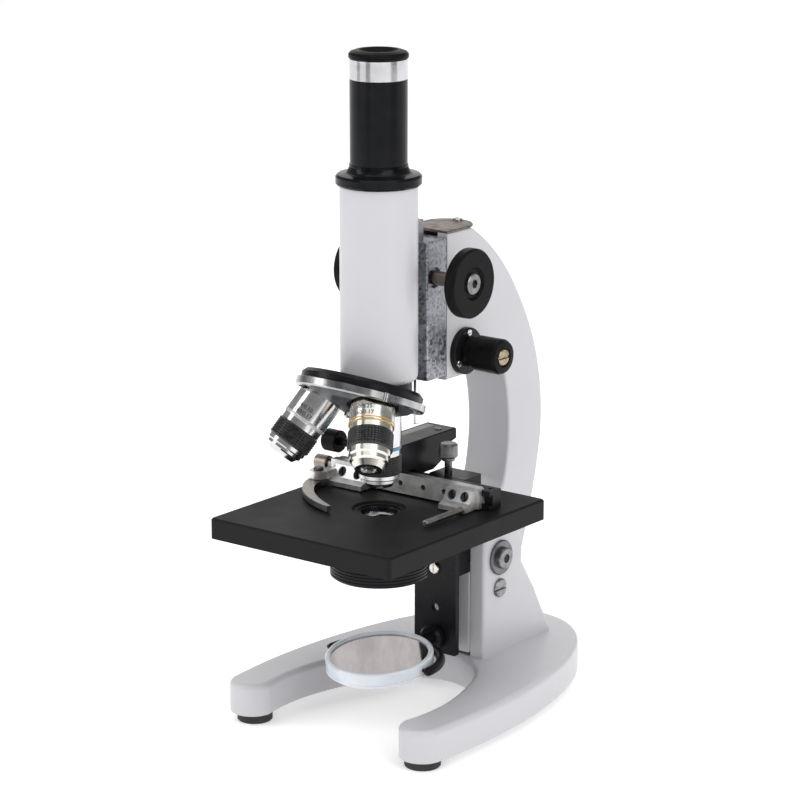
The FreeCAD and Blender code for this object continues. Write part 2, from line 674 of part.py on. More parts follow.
def fine_knob(side):
    end = FINE_KNOB_IN
    profile = [(3.02, 0), (7.0, 0), (7.6, 0.5), (7.6, 4.4), (8.1, 5.2), (8.8, 5.6), (8.8, 19.0),
               (7.9, 20.6), (5.2, 20.9), (4.4, 20.2), (4.4, 19.2), (1.6, 19.2), (1.6, 7.3), (3.02, 7.3)]
    return turned(profile, (end * side, FINE_Y, FINE_Z), X * side)


def fine_screw(side):
    start = FINE_KNOB_IN + 19.2
    screw = slotted_screw(4.2, 1.7, 1.55, 11.6, (start * side, FINE_Y, FINE_Z), X * side)
    return screw


# ---- tube --------------------------------------------------------------------------------------------
def body_tube():
    r = TUBE_R
    tube = cyl(r, TUBE_TOP - TUBE_BOTTOM, (0, 0, TUBE_BOTTOM))
    tube = rounded(tube, 3.2, lambda e: in_plane(e, "Z", TUBE_BOTTOM))
    below = turned([(0, 9.3), (30.2, 9.3), (30.2, -40), (0, -40)], on_turret(0), -nose_down())
    tube = tube.cut(below)
    tube = tube.cut(cyl(15.5, TUBE_TOP - TUBE_BOTTOM, (0, 0, TUBE_BOTTOM + 4)))
    return tube.cut(cyl(9.5, 10, (0, 0, TUBE_BOTTOM - 1)))


def tube_rail():
    """Dovetail rail on the back of the tube, with a channel for the rack."""
    rail = dovetail(0, 16, RAIL_BACK, RAIL_BOTTOM, RAIL_TOP)
    rail = rail.cut(cyl(TUBE_R + 0.01, 120, (0, 0, 160)))
    return rail.cut(box(-2.9, 2.9, 22.0, 30, RAIL_BOTTOM - 1, RAIL_TOP + 1))


def coarse_rack():
    pitch = 2 * math.pi * PINION_PITCH_R / PINION_TEETH
    line_y = COARSE_Y - PINION_PITCH_R
    root, tip = line_y - 0.55, line_y + 0.4
    pts = [(22.05, RACK_BOTTOM)]
    count = int((RACK_TOP - RACK_BOTTOM) / pitch)
    first = COARSE_Z + pitch / 2
    first -= math.floor((first - RACK_BOTTOM - 1) / pitch) * pitch
    pts.append((root, RACK_BOTTOM))
    for i in range(count):
        z = first + i * pitch
        if z + pitch * 0.3 > RACK_TOP:
            break
        pts += [(root, z - pitch * 0.27), (tip, z - pitch * 0.10), (tip, z + pitch * 0.10),
                (root, z + pitch * 0.27)]
    pts += [(root, RACK_TOP), (22.05, RACK_TOP)]
    return plate_x(pts, -2.85, 2.85)


def tube_collar():
    """Rim on the tube's top and the hollow curve up to the draw tube."""
    z = TUBE_TOP
    curve_pts = []
    for i in range(7):
        a = math.radians(90 * i / 6)
        curve_pts.append((17.4 - 3.3 * math.sin(a), z + 10.2 - 4.4 * math.cos(a)))
    profile = [(DRAW_R - 1.95, z - 12), (15.45, z - 12), (15.45, z), (20.0, z), (20.8, z + 0.9),
               (20.8, z + 4.2), (19.8, z + 5.3)]
    return turned(profile + curve_pts + [(DRAW_R - 1.95, z + 10.2)])


def draw_tube():
    z = TUBE_TOP
    inside = EYE_R + FIT
    profile = [(inside, z - 20), (DRAW_R - 2.0, z - 20), (DRAW_R - 2.0, z + 10.25), (DRAW_R, z + 10.25),
               (DRAW_R, DRAW_TOP), (inside, DRAW_TOP)]
    return turned(profile)


def eyepiece_barrel():
    """Steel barrel that drops into the draw tube, with the bright ring that rests on it."""
    z = DRAW_TOP
    profile = [(EYE_R - 1.0, z - 28), (EYE_R, z - 28), (EYE_R, z), (13.9, z), (13.9, z + 9.4),
               (13.5, z + 9.8), (EYE_R - 1.0, z + 9.8)]
    return turned(profile)


def eyepiece_cap():
    z = DRAW_TOP + 9.8
    profile = [(EYE_R - 1.05, z - 3), (EYE_R - 1.05, z), (14.1, z), (14.35, z + 0.5), (14.35, z + 1.9),
               (13.4, z + 3.0), (11.0, z + 3.8), (9.6, z + 3.8), (6.4, z + 1.4), (6.4, z - 3)]
    return turned(profile)


def eye_lens():
    z = DRAW_TOP + 9.8
    dome = Part.makeSphere(14, V(0, 0, z + 1.0 - 14))
    return cyl(6.35, 4.0, (0, 0, z - 3.0)).common(dome)


def field_lens():
    z = DRAW_TOP - 27
    dome = Part.makeSphere(40, V(0, 0, z + 4.0 - 40))
    return cyl(EYE_R - 1.05, 5, (0, 0, z)).common(dome)


# ---- nosepiece ---------------------------------------------------------------------------------------
def nose_down():
    a = math.radians(NOSE_TILT)
    return V(0, -math.sin(a), -math.cos(a))


def seat_plane():
    """Centre of the plane through the three objective shoulders, on the turret's axis."""
    return V(0, 0, NOSE_APEX_Z) + nose_down() * (SEAT_DIST * math.cos(math.radians(NOSE_TILT)))


def on_turret(height):
    p = seat_plane() - nose_down() * height
    return (p.x, p.y, p.z)


def nose_mount():
    """Fixed disc on the bottom of the tube that the turret turns under."""
    up = -nose_down()
    low = on_turret(4.8)
    disc = turned([(0, 0), (30.0, 0), (30.0, 2.6), (28.2, 4.4), (0, 4.4)], low, up)
    below = turned([(0, 0), (90, 0), (90, -60), (0, -60)], low, up)
    boss = cyl(16.0, 22, (0, 0, TUBE_BOTTOM - 22)).cut(below)
    mount = fuse(disc, boss)
    mount = mount.cut(cyl(9.0, 40, (0, 0, TUBE_BOTTOM - 35)))
    return mount.cut(cyl(2.5, 20, on_turret(2), up))


def turret_pivot():
    """Shouldered screw through the middle of the turret."""
    up = -nose_down()
    return turned([(0, -9.6), (5.0, -9.6), (5.6, -9.0), (5.6, -7.3), (3.0, -7.3), (3.0, 4.8), (2.45, 4.8),
                   (2.45, 9.0), (0, 9.0)], on_turret(0), up)


def turret_shell():
    """Dished body of the turret with three threaded seats."""
    up = -nose_down()
    bore = 3.0 + FIT
    profile = [(bore, -7.2), (8.0, -7.2), (15, -5.2), (24.5, -1.8), (27.0, 0.2), (27.0, 4.5), (bore, 4.5)]
    shell = turned(profile, on_turret(0), up)
    for i in range(3):
        d = objective_dir(i)
        seat = objective_seat(i)
        shell = shell.cut(Part.makeCylinder(12.6, 30, seat, d))
        boss = Part.makeCylinder(11.6, 5.5, seat - d * 5.5, d)
        boss = boss.cut(turned([(0, 0), (90, 0), (90, 60), (0, 60)], on_turret(4.5), up))
        shell = fuse(shell, boss)
    for i in range(3):
        d = objective_dir(i)
        shell = shell.cut(Part.makeCylinder(THREAD_R + 0.02, 20, objective_seat(i) - d * 12, d))
    return shell


def turret_rim():
    """Bright ring round the turret with a click notch over each seat."""
    up = -nose_down()
    profile = [(27.05, 0.2), (31.2, 0.2), (TURRET_R, 1.0), (TURRET_R, 4.2), (31.4, 4.5), (27.05, 4.5)]
    rim = turned(profile, on_turret(0), up)
    for i in range(3):
        d = objective_dir(i)
        out = (d - nose_down() * d.dot(nose_down())).normalize()
        at = V(*on_turret(2.5)) + out * (TURRET_R + 1.2)
        rim = rim.cut(Part.makeCylinder(2.2, 6, at + nose_down() * 3, -nose_down()))
        rim = rim.cut(Part.makeCylinder(THREAD_R + 2.9, 40, objective_seat(i) - d * 8, d))
    return rim


def objective_dir(i):
    """Axis of objective i, away from the tube; 0 stands over the stage."""
    d = V(0, 0, -1)
    return Rotation(nose_down(), i * 120).multVec(d)


def objective_seat(i):
    return V(0, 0, NOSE_APEX_Z) + objective_dir(i) * SEAT_DIST


def place_objective(profile, i):
    return turned(profile, tuple(objective_seat(i)), objective_dir(i))


# name, position on the turret, length, distance of the colour band and of the knurled grip
OBJECTIVES = [("high", 0, 39.5, 19.0, 24.0), ("low", 2, 37.0, 16.5, 21.5), ("mid", 1, 35.5, 12.3, 17.0)]
GRIP_L = 9.0


def objective_barrel(i, length, band, grip):
    """Barrel with grooves for the colour band and the grip, and a stepped nose."""
    core, bore, nose, shoulder = 9.4, 7.4, 10.0, 10.4
    end = grip + GRIP_L
    step = length - end
    thread = THREAD_R - 0.03
    profile = [(bore, -3.6), (thread, -3.6), (thread, 0), (shoulder, 0), (10.9, 0.5), (10.9, band - 0.3),
               (core, band - 0.3), (core, band + 1.5), (shoulder, band + 1.5), (shoulder, grip - 0.5),
               (core, grip - 0.5), (core, end + 0.1), (nose, end + 0.1), (nose, end + step * 0.3),
               (9.2, end + step * 0.4), (9.2, end + step * 0.6), (8.0, end + step * 0.7),
               (6.6, length), (4.0, length), (4.0, length - 1.2), (bore, length - 5.0)]
    above = turned([(0, 0), (60, 0), (60, 40), (0, 40)], on_turret(4.4), -nose_down())
    return place_objective(profile, i).cut(above)


def objective_band(i, length, band, grip):
    low, high = band - 0.28, band + 1.48
    return place_objective([(9.42, low), (11.0, low), (11.0, high), (9.42, high)], i)


def objective_grip(i, length, band, grip):
    """Grip ring with eased corners."""
    low, high = grip - 0.45, grip + GRIP_L + 0.05
    return place_objective([(9.42, low), (10.5, low), (10.9, low + 0.4), (10.9, high - 0.4), (10.5, high),
                            (9.42, high)], i)


def objective_lens(i, length, band, grip):
    r, back = 3.97, length - 3.4
    return place_objective([(0, back), (r, back), (r, length - 0.8), (0, length - 0.5)], i)


# ---- mechanical stage --------------------------------------------------------------------------------
def holder_bracket():
    """Block that the thumbscrew clamps to the stage, with the guide for the cross slide's bar."""
    block = box(2.0, 24.0, BEAM_BACK + 0.3, 52, STAGE_TOP, BEAM_TOP)
    block = rounded(block, 0.8, lambda e: along(e, Z))
    foot = box(-22, 2.5, BEAM_BACK + 4, 52, STAGE_TOP, 114.5)
    post = box(-22, GUIDE_LEFT, BEAM_BACK + 4, 52, STAGE_TOP, 134)
    post = rounded(post, 0.8, lambda e: along(e, X) and e.BoundBox.ZMin > 130)
    whole = fuse(block, foot, post)
    return whole.cut(cyl(2.0, 30, (THUMB_X, THUMB_Y, STAGE_TOP - 6)))


def thumbscrew():
    z = BEAM_TOP
    profile = [(0, STAGE_TOP + 0.5), (1.95, STAGE_TOP + 0.5), (1.95, z + 8.2), (4.2, z + 8.2),
               (4.7, z + 8.7), (4.7, z + 14.9), (4.0, z + 15.6), (0, z + 15.6)]
    return turned(profile, (THUMB_X, THUMB_Y, 0))


def cross_beam():
    """Black beam that the slide holder runs along."""
    beam = box(-52, 46.5, BEAM_FRONT, BEAM_BACK, STAGE_TOP + 0.3, BEAM_TOP)
    beam = rounded(beam, 0.6, lambda e: along(e, X) and e.BoundBox.ZMin > BEAM_TOP - 0.1)
    groove = plate_x([(BEAM_FRONT - 1, 114.2), (BEAM_FRONT + 2.6, 113.2), (BEAM_FRONT + 2.6, 119.2),
                      (BEAM_FRONT - 1, 118.2)], -60, 60)
    beam = beam.cut(groove)
    return beam.cut(cyl(1.0, 3, (43, 33, BEAM_TOP - 3)))


def stage_bar():
    """Fixed front-to-back bar with a sloping underside at its back end and a recess for its scale."""
    front, back = 15.0, 63.0
    notch = BEAM_FRONT + 3.5
    outline = [(front, 125.0), (front, GUIDE_TOP), (back, GUIDE_TOP), (back, 133.2), (58.5, 132.2),
               (50.5, 124.0), (44.0, GUIDE_BOTTOM), (notch, GUIDE_BOTTOM), (notch, 125.0)]
    bar = plate_x(outline, GUIDE_LEFT, 0.0)
    bar = bar.makeChamfer(0.5, [e for e in bar.Edges if in_plane(e, "Z", GUIDE_TOP)])
    bar = bar.cut(box(-17.0, -11.5, front + 2, back - 2, GUIDE_TOP - 0.4, GUIDE_TOP + 0.4))
    for y in (21, 55):
        bar = bar.cut(cyl(1.3, 3, (-5.5, y, GUIDE_TOP - 2)))
    return bar.cut(cyl(Y_SHAFT_R + FIT, 12, (-20, Y_KNOB_Y, KNOB_Z), X))


def y_shaft():
    return cyl(Y_SHAFT_R, 50, (-60, Y_KNOB_Y, KNOB_Z), X)


def y_knob():
    profile = [(2.02, 0), (5.2, 0), (5.7, 0.6), (5.7, 8.4), (5.2, 9.0), (2.02, 9.0)]
    return turned(profile, (-61, Y_KNOB_Y, KNOB_Z), X)


def x_shaft():
    return cyl(2.4, 13.2, (-65.5, X_SHAFT_Y, X_SHAFT_Z), X)


def x_knob():
    profile = [(2.42, 0), (3.4, 0), (3.8, 0.5), (3.8, 7.5), (3.4, 8.0), (2.42, 8.0)]
    return turned(profile, (-66, X_SHAFT_Y, X_SHAFT_Z), X)


def holder_face():
    return BEAM_FRONT - HOLDER_GAP - HOLDER_T


def holder_plate():
    """Bright plate on the beam's front that carries both clamps."""
    y0 = holder_face()
    plate = box(-50, 42, y0, y0 + HOLDER_T, 112.0, BEAM_TOP + 1.4)
    lip = box(-50, 42, y0, BEAM_FRONT + 1.8, BEAM_TOP + 0.3, BEAM_TOP + 1.4)
    tongue = plate_x([(y0 + HOLDER_T - 0.3, 114.8), (BEAM_FRONT + 2.2, 113.9), (BEAM_FRONT + 2.2, 118.5),
                      (y0 + HOLDER_T - 0.3, 117.6)], -45, 42)
    plate = fuse(plate, lip, tongue)
    corner = box(40, 43, y0 - 1, BEAM_FRONT + 3, BEAM_TOP - 0.6, BEAM_TOP + 2)
    plate = plate.cut(corner.cut(cyl(2.0, 20, (40, y0 - 2, BEAM_TOP - 0.6), Y)))
    for x in HOLDER_HOLES:
        plate = plate.cut(cyl(1.35, 20, (x, y0 - 5, HOLDER_HOLE_Z), Y))
    for x in LEFT_SCREWS + RIGHT_SCREWS:
        plate = plate.cut(cyl(CLAMP_SCREW_R + 0.05, 4, (x, y0 - 1, CLAMP_SCREW_Z), Y))
    return plate


def clamp(x0, x1, screws):
    """Angle clamp with a sloping front, screwed to the holder's plate."""
    back = holder_face() - 0.02
    front = back - CLAMP_DEPTH
    outline = [(back, CLAW_BOTTOM), (back, CLAMP_TOP), (back - 2.4, CLAMP_TOP), (back - 5.2, 115.4),
               (front, 114.0), (front, CLAW_BOTTOM)]
    body = plate_x(outline, x0, x1)
    seat = holder_face() - 2.5
    for x in screws:
        body = body.cut(cyl(CLAMP_SCREW_R + 0.05, 12, (x, seat - 1, CLAMP_SCREW_Z), Y))
        body = body.cut(cyl(2.4, 12, (x, seat, CLAMP_SCREW_Z), -Y))
    return body


def right_clamp():
    return clamp(24.4, 40.3, RIGHT_SCREWS)


def left_clamp():
    """Clamp with a lug at its left end for the claw's pin."""
    body = clamp(-44.8, -24, LEFT_SCREWS)
    lug_z = CLAW_BOTTOM + CLAW_T + 0.3
    lug = cyl(4.6, 4.0, (CLAW_X, CLAW_Y, lug_z))
    neck = box(CLAW_X, -44, CLAW_Y, CLAW_Y + 9.5, lug_z, lug_z + 4.0)
    body = fuse(body, lug, neck)
    return body.cut(cyl(CLAW_PIN_R + 0.05, 12, (CLAW_X, CLAW_Y, 110)))


def clamp_screws():
    seat = holder_face() - 2.5
    return group([slotted_screw(2.3, 1.2, CLAMP_SCREW_R, 4.2, (x, seat, CLAMP_SCREW_Z), -Y)
                  for x in LEFT_SCREWS + RIGHT_SCREWS])


def finger():
    """Straight finger that stands in front of the right clamp."""
    start = holder_face() - 0.02 - CLAMP_DEPTH
    tip = -14.0
    rod = cyl(1.6, start - tip, (38.2, start, 113.4), -Y)
    return rod.makeFillet(0.6, [e for e in rod.Edges if in_plane(e, "Y", tip)])


def claw():
    """Curved arm that swings against the edge of a glass slide."""
    z = CLAW_BOTTOM
    half = 4.5
    outer = curve([(CLAW_X - half, CLAW_Y, z), (-50.2, 3, z), (-41.8, -8, z), (-30, -16.8, z),
                   (-14.6, -22.6, z)])
    inner = curve([(-14.0, -20.6, z), (-28, -12.8, z), (-38.6, -3.4, z), (-44.2, 6, z),
                   (CLAW_X + half, CLAW_Y, z)])
    top = arc((CLAW_X + half, CLAW_Y, z), (CLAW_X, CLAW_Y + half, z), (CLAW_X - half, CLAW_Y, z))
    tip = line((-14.6, -22.6, z), (-14.0, -20.6, z))
    body = Part.Face(Part.Wire([outer, tip, inner, top])).extrude(V(0, 0, CLAW_T))
    return body.cut(cyl(CLAW_PIN_R + 0.05, 8, (CLAW_X, CLAW_Y, 110)))


def claw_pin():
    r = CLAW_PIN_R
    profile = [(0, 111.8), (r, 111.8), (r, 119.0), (2.6, 119.0), (2.6, 120.0), (2.1, 120.4), (0, 120.4)]
    return turned(profile, (CLAW_X, CLAW_Y, 0))


# ---- the finished pieces -----------------------------------------------------------------------------
def for_objectives(make):
    return group([make(i, length, band, grip) for _, i, length, band, grip in OBJECTIVES])


PIECES = {
    "base_casting": base_casting,
    "pillar": pillar,
    "rubber_feet": rubber_feet,
    "base_screws": lambda: group([foot_screws(), pillar_bolts()]),
    "pivot_bolt": lambda: group([pivot_bolt(), pivot_nut()]),
    "pivot_washers": pivot_washers,
    "tension_screws": tension_screws,
    "arm_casting": arm_casting,
    "cover_plate": cover_plate,
    "arm_screws": lambda: group([make() for make in (cover_screws, flange_screws, stage_bolts,
                                                     bracket_bolts, bar_screws)]),
    "fine_flanges": fine_flanges,
    "stage_plate": stage_plate,
    "stage_bracket": stage_bracket,
    "mirror_bar": mirror_bar,
    "condenser_sleeve": condenser_sleeve,
    "condenser_mount": condenser_mount,
    "condenser_lens": condenser_lens,
    "iris_ring": iris_ring,
    "iris_lever": iris_lever,
    "mirror_fork": lambda: group([mirror_fork(), fork_nut()]),
    "mirror_frame": mirror_frame,
    "mirror_glasses": lambda: group([mirror_flat(), mirror_concave()]),
    "mirror_pivots": mirror_pivots,
    "focus_block": focus_block,
    "stop_rod": stop_rod,
    "coarse_shaft": coarse_shaft,
    "coarse_knobs": lambda: both_sides(coarse_knob),
    "coarse_screws": lambda: both_sides(coarse_screw),
    "fine_shaft": fine_shaft,
    "fine_knobs": lambda: both_sides(fine_knob),
    "fine_screws": lambda: both_sides(fine_screw),
    "body_tube": body_tube,
    "tube_rail": tube_rail,
    "coarse_rack": coarse_rack,
    "tube_collar": tube_collar,
    "draw_tube": draw_tube,
    "nose_mount": nose_mount,
    "turret_pivot": turret_pivot,
    "eyepiece_barrel": eyepiece_barrel,
    "eyepiece_cap": eyepiece_cap,
    "eyepiece_lenses": lambda: group([eye_lens(), field_lens()]),
    "turret_shell": turret_shell,
    "turret_rim": turret_rim,
    "objective_bands": lambda: for_objectives(objective_band),
    "objective_grips": lambda: for_objectives(objective_grip),
    "objective_lenses": lambda: for_objectives(objective_lens),
    "holder_bracket": holder_bracket,
    "thumbscrew": thumbscrew,
    "cross_beam": cross_beam,
    "stage_bar": stage_bar,
    "y_knob": lambda: group([y_shaft(), y_knob()]),
    "x_knob": lambda: group([x_shaft(), x_knob()]),
    "holder_plate": holder_plate,
    "slide_clamps": lambda: group([right_clamp(), left_clamp()]),
    "clamp_screws": lambda: group([clamp_screws(), claw_pin()]),
    "slide_finger": finger,
    "slide_claw": claw,
}
for label, *numbers in OBJECTIVES:
    PIECES["objective_" + label] = lambda numbers=numbers: objective_barrel(*numbers)


def solids_of(shape):
    return shape.Solids if len(shape.Solids) > 1 else shape.Solids[:1]


os.makedirs("parts", exist_ok=True)
whole = FreeCAD.BoundBox()
for node, make in PIECES.items():
    piece = group(solids_of(make()))
    piece.translate(V(0, FRAME_SHIFT_Y, 0))
    whole.add(piece.BoundBox)
    piece.exportStep("parts/" + node + ".step")
    if not piece.isValid() or piece.Volume <= 0:
        print("not a sound solid:", node)
print(len(PIECES), "nodes, box", [round(v, 2) for v in (whole.XMin, whole.XMax, whole.YMin, whole.YMax,
                                                        whole.ZMin, whole.ZMax)])
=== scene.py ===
"""Finishes and fine pieces of a student microscope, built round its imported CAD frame."""
import math

import bmesh
import bpy
from bpy.props import FloatProperty, FloatVectorProperty, IntProperty, PointerProperty
from mathutils import Matrix, Vector


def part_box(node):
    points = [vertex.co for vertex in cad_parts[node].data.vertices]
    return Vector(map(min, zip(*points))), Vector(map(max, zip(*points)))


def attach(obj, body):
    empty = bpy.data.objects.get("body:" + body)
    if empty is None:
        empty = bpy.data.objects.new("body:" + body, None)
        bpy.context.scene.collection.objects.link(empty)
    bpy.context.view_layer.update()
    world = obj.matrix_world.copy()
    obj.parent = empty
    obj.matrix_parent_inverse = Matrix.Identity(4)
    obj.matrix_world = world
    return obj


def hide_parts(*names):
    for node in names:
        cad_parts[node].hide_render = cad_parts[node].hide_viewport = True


bl_info = {
    "name": "Student Microscope",
    "version": (1, 0, 0),
    "blender": (4, 5, 0),
    "location": "3D View > Sidebar > Microscope",
    "description": "Adds the knurled grips, colour bands, scales and finishes of a student microscope",
    "category": "Add Mesh",
}

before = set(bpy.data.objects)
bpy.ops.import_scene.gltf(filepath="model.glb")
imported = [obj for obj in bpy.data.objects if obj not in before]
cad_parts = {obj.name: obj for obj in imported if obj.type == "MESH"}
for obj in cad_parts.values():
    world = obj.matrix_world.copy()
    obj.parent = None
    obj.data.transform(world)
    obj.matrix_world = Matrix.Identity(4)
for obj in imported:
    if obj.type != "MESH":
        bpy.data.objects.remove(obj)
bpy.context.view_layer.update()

MM = 0.001
SHARP_ANGLE = math.radians(32)
FRONT = Vector((0.61, -0.79, 0.0))      # towards a person who sits at the open end, right of centre


def middle(node):
    low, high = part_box(node)
    return (low + high) / 2


AXIS_Y = middle("draw_tube").y


# ---- mesh helpers ------------------------------------------------------------------------
def facing(origin, axis):
    """Matrix that stands a piece drawn along +Z at the origin on `origin`, along `axis`."""
    turn = Vector(axis).to_track_quat("Z", "Y").to_matrix().to_4x4()
    return Matrix.Translation(origin) @ turn


def spun(profile, steps=96):
    """A closed outline of (radius, height) points in millimetres, spun about Z.

    An outline that starts and ends on the axis is left open there, so its poles close."""
    bm = bmesh.new()
    verts = [bm.verts.new((r * MM, 0, h * MM)) for r, h in profile]
    pairs = list(zip(verts, verts[1:]))
    if profile[0][0] or profile[-1][0]:
        pairs.append((verts[-1], verts[0]))
    edges = [bm.edges.new(pair) for pair in pairs]
    bmesh.ops.spin(bm, geom=verts + edges, cent=(0, 0, 0), axis=(0, 0, 1), angle=math.tau,
                   steps=steps, use_merge=True)
    bmesh.ops.remove_doubles(bm, verts=bm.verts, dist=1e-7)
    bmesh.ops.recalc_face_normals(bm, faces=bm.faces)
    return bm


def ease(bm, width, segments=2, above=SHARP_ANGLE):
    """Rounds every edge whose faces meet at more than `above`."""
    edges = [e for e in bm.edges if e.is_manifold and e.calc_face_angle(0) > above]
    bmesh.ops.bevel(bm, geom=edges, offset=width * MM, offset_type="OFFSET", segments=segments,
                    profile=0.5, affect="EDGES", material=-1, clamp_overlap=True)


def outer_faces(bm, radius, low, high):
    """Faces of a spun piece that lie on the cylinder of that radius between two heights."""
    found = []
    for face in bm.faces:
        radii = [math.hypot(v.co.x, v.co.y) for v in face.verts]
        heights = [v.co.z for v in face.verts]
        on_wall = min(radii) > (radius - 0.01) * MM and max(radii) < (radius + 0.01) * MM
        if on_wall and min(heights) > (low - 0.01) * MM and max(heights) < (high + 0.01) * MM:
            found.append(face)
    return found


def knurl(bm, radius, low, high, gap, depth):
    """Raises each face of a spun wall into a small flat-topped tooth."""
    bmesh.ops.inset_individual(bm, faces=outer_faces(bm, radius, low, high), thickness=gap * MM,
                               depth=depth * MM, use_even_offset=True)


def rows(radius, low, high, count):
    """Points up a wall, `count` faces tall."""
    return [(radius, low + (high - low) * i / count) for i in range(count + 1)]


def block(low, high):
    """A box between two corners in metres."""
    bm = bmesh.new()
    size = Vector(high) - Vector(low)
    centre = (Vector(high) + Vector(low)) / 2
    bmesh.ops.create_cube(bm, size=1, matrix=Matrix.Translation(centre) @ Matrix.Diagonal((*size, 1)))
    return bm


def slotted_head(radius, height, slot):
    """A low round screw head with a real slot across it."""
    bm = spun([(0, 0), (radius, 0), (radius, height * 0.7), (radius * 0.86, height), (0, height)], 48)
    for side in (1, -1):
        bmesh.ops.bisect_plane(bm, geom=bm.verts[:] + bm.edges[:] + bm.faces[:], dist=1e-8,
                               plane_co=(side * slot * MM / 2, 0, 0), plane_no=(1, 0, 0))
    top = [f for f in bm.faces if f.normal.z > 0.9 and abs(f.calc_center_median().x) < slot * MM / 2]
    moved = bmesh.ops.extrude_face_region(bm, geom=top)["geom"]
    bmesh.ops.delete(bm, geom=top, context="FACES")
    floor = [v for v in moved if isinstance(v, bmesh.types.BMVert)]
    bmesh.ops.translate(bm, verts=floor, vec=(0, 0, -height * 0.55 * MM))
    bmesh.ops.recalc_face_normals(bm, faces=bm.faces)
    return bm


def joined(parts):
    """Several bmeshes, each with its own matrix, as one."""
    whole = bmesh.new()
    for bm, matrix in parts:
        bmesh.ops.transform(bm, matrix=matrix, verts=bm.verts)
        mesh = bpy.data.meshes.new("part")
        bm.to_mesh(mesh)
        bm.free()
        whole.from_mesh(mesh)
        bpy.data.meshes.remove(mesh)
    return whole


def add_piece(name, bm, matrix, body, finish, replaced=()):
    """Turns a finished bmesh into a piece that rides on a body."""
    bmesh.ops.transform(bm, matrix=matrix, verts=bm.verts)
    mesh = bpy.data.meshes.new(name)
    bm.to_mesh(mesh)
    bm.free()
    mesh.shade_smooth()
    mesh.set_sharp_from_angle(angle=SHARP_ANGLE)
    mesh.materials.append(finish)
    piece = bpy.data.objects.new(name, mesh)
    bpy.context.scene.collection.objects.link(piece)
    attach(piece, body)
    if replaced:
        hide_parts(*replaced)
    return piece


# ---- material helpers ----------------------------------------------------------------------
def add_node(tree, kind, inputs=None, **settings):
    """A node with its settings and inputs; an input is a value or another node's socket."""
    node = tree.nodes.new(kind)
    for key, value in settings.items():
        setattr(node, key, value)
    for key, value in (inputs or {}).items():
        if isinstance(value, bpy.types.NodeSocket):
            tree.links.new(value, node.inputs[key])
        else:
            node.inputs[key].default_value = value
    return node


def new_finish(name, **sockets):
    """A material with one Principled shader; returns it with its tree, shader and coordinates."""
    material = bpy.data.materials.new(name)
    material.use_nodes = True
    tree = material.node_tree
    tree.nodes.clear()
    shader = add_node(tree, "ShaderNodeBsdfPrincipled")
    for key, value in sockets.items():
        shader.inputs[key.replace("_", " ")].default_value = value
    output = tree.nodes.new("ShaderNodeOutputMaterial")
    tree.links.new(shader.outputs["BSDF"], output.inputs["Surface"])
    where = tree.nodes.new("ShaderNodeTexCoord").outputs["Object"]
    return material, tree, shader, where


def noise(tree, where, scale, detail=4.0, roughness=0.55):
    node = add_node(tree, "ShaderNodeTexNoise",
                    {"Vector": where, "Scale": scale, "Detail": detail, "Roughness": roughness})
    return node.outputs["Fac"]


def tones(tree, factor, low, high, start=0.35, end=0.65):
    """Blends two colours as the factor goes from start to end."""
    ramp = add_node(tree, "ShaderNodeValToRGB", {"Fac": factor})
    ramp.color_ramp.elements[0].position = start
    ramp.color_ramp.elements[0].color = (*low, 1)
    ramp.color_ramp.elements[1].position = end
    ramp.color_ramp.elements[1].color = (*high, 1)
    return ramp.outputs["Color"]


def spread(tree, factor, low, high, start=0.3, end=0.7):
    """Maps a pattern to a range of values."""
    node = add_node(tree, "ShaderNodeMapRange", {"Value": factor, "From Min": start, "From Max": end,
                                                 "To Min": low, "To Max": high})
    return node.outputs["Result"]


def maths(tree, operation, *values):
    """The result of one Math node."""
    return add_node(tree, "ShaderNodeMath", dict(enumerate(values)), operation=operation).outputs["Value"]


def relief(tree, height, depth, normal=None):
    """Bump of a real depth in millimetres."""
    inputs = {"Height": height, "Distance": depth * MM}
    if normal is not None:
        inputs["Normal"] = normal
    return add_node(tree, "ShaderNodeBump", inputs).outputs["Normal"]


def mapped(tree, where, scale=(1, 1, 1), rotation=(0, 0, 0)):
    """Coordinates drawn out by the scale along turned axes."""
    node = add_node(tree, "ShaderNodeMapping", {"Vector": where, "Scale": scale, "Rotation": rotation},
                    vector_type="TEXTURE")
    return node.outputs["Vector"]


def lathe_lines(tree, where, scale):
    """Fine lines across the Z axis, as a lathe leaves them."""
    along = add_node(tree, "ShaderNodeSeparateXYZ", {"Vector": where}).outputs["Z"]
    marks = add_node(tree, "ShaderNodeTexNoise", {"W": along, "Scale": scale, "Detail": 2.0},
                     noise_dimensions="1D")
    return marks.outputs["Fac"]


def surface(name, low, high, gloss, patch=60.0, grain=2500.0, depth=0.0, stretch=None, grain_gloss=0.0,
            **sockets):
    """Paint, plastic or metal whose tone and gloss wander over patches, with a fine grain.

    gloss is the lowest and highest roughness; stretch draws the grain out along an axis."""
    material, tree, shader, where = new_finish(name, **sockets)
    broad = noise(tree, where, patch, 3.0)
    tree.links.new(tones(tree, broad, low, high), shader.inputs["Base Color"])
    lie = mapped(tree, where, stretch) if stretch else where
    fine = noise(tree, lie, grain, 2.0)
    rough = spread(tree, broad, *gloss)
    if grain_gloss:
        rough = maths(tree, "ADD", rough, spread(tree, fine, -grain_gloss, grain_gloss))
    tree.links.new(rough, shader.inputs["Roughness"])
    if depth:
        tree.links.new(relief(tree, fine, depth), shader.inputs["Normal"])
    return material


# ---- sizes and colours -----------------------------------------------------------------------
def colour(name, description, value):
    return FloatVectorProperty(name=name, description=description, subtype="COLOR", size=3,
                               min=0, max=1, default=value)


def length(name, description, value):
    return FloatProperty(name=name, description=description, unit="LENGTH", subtype="DISTANCE",
                         precision=5, default=value * MM)


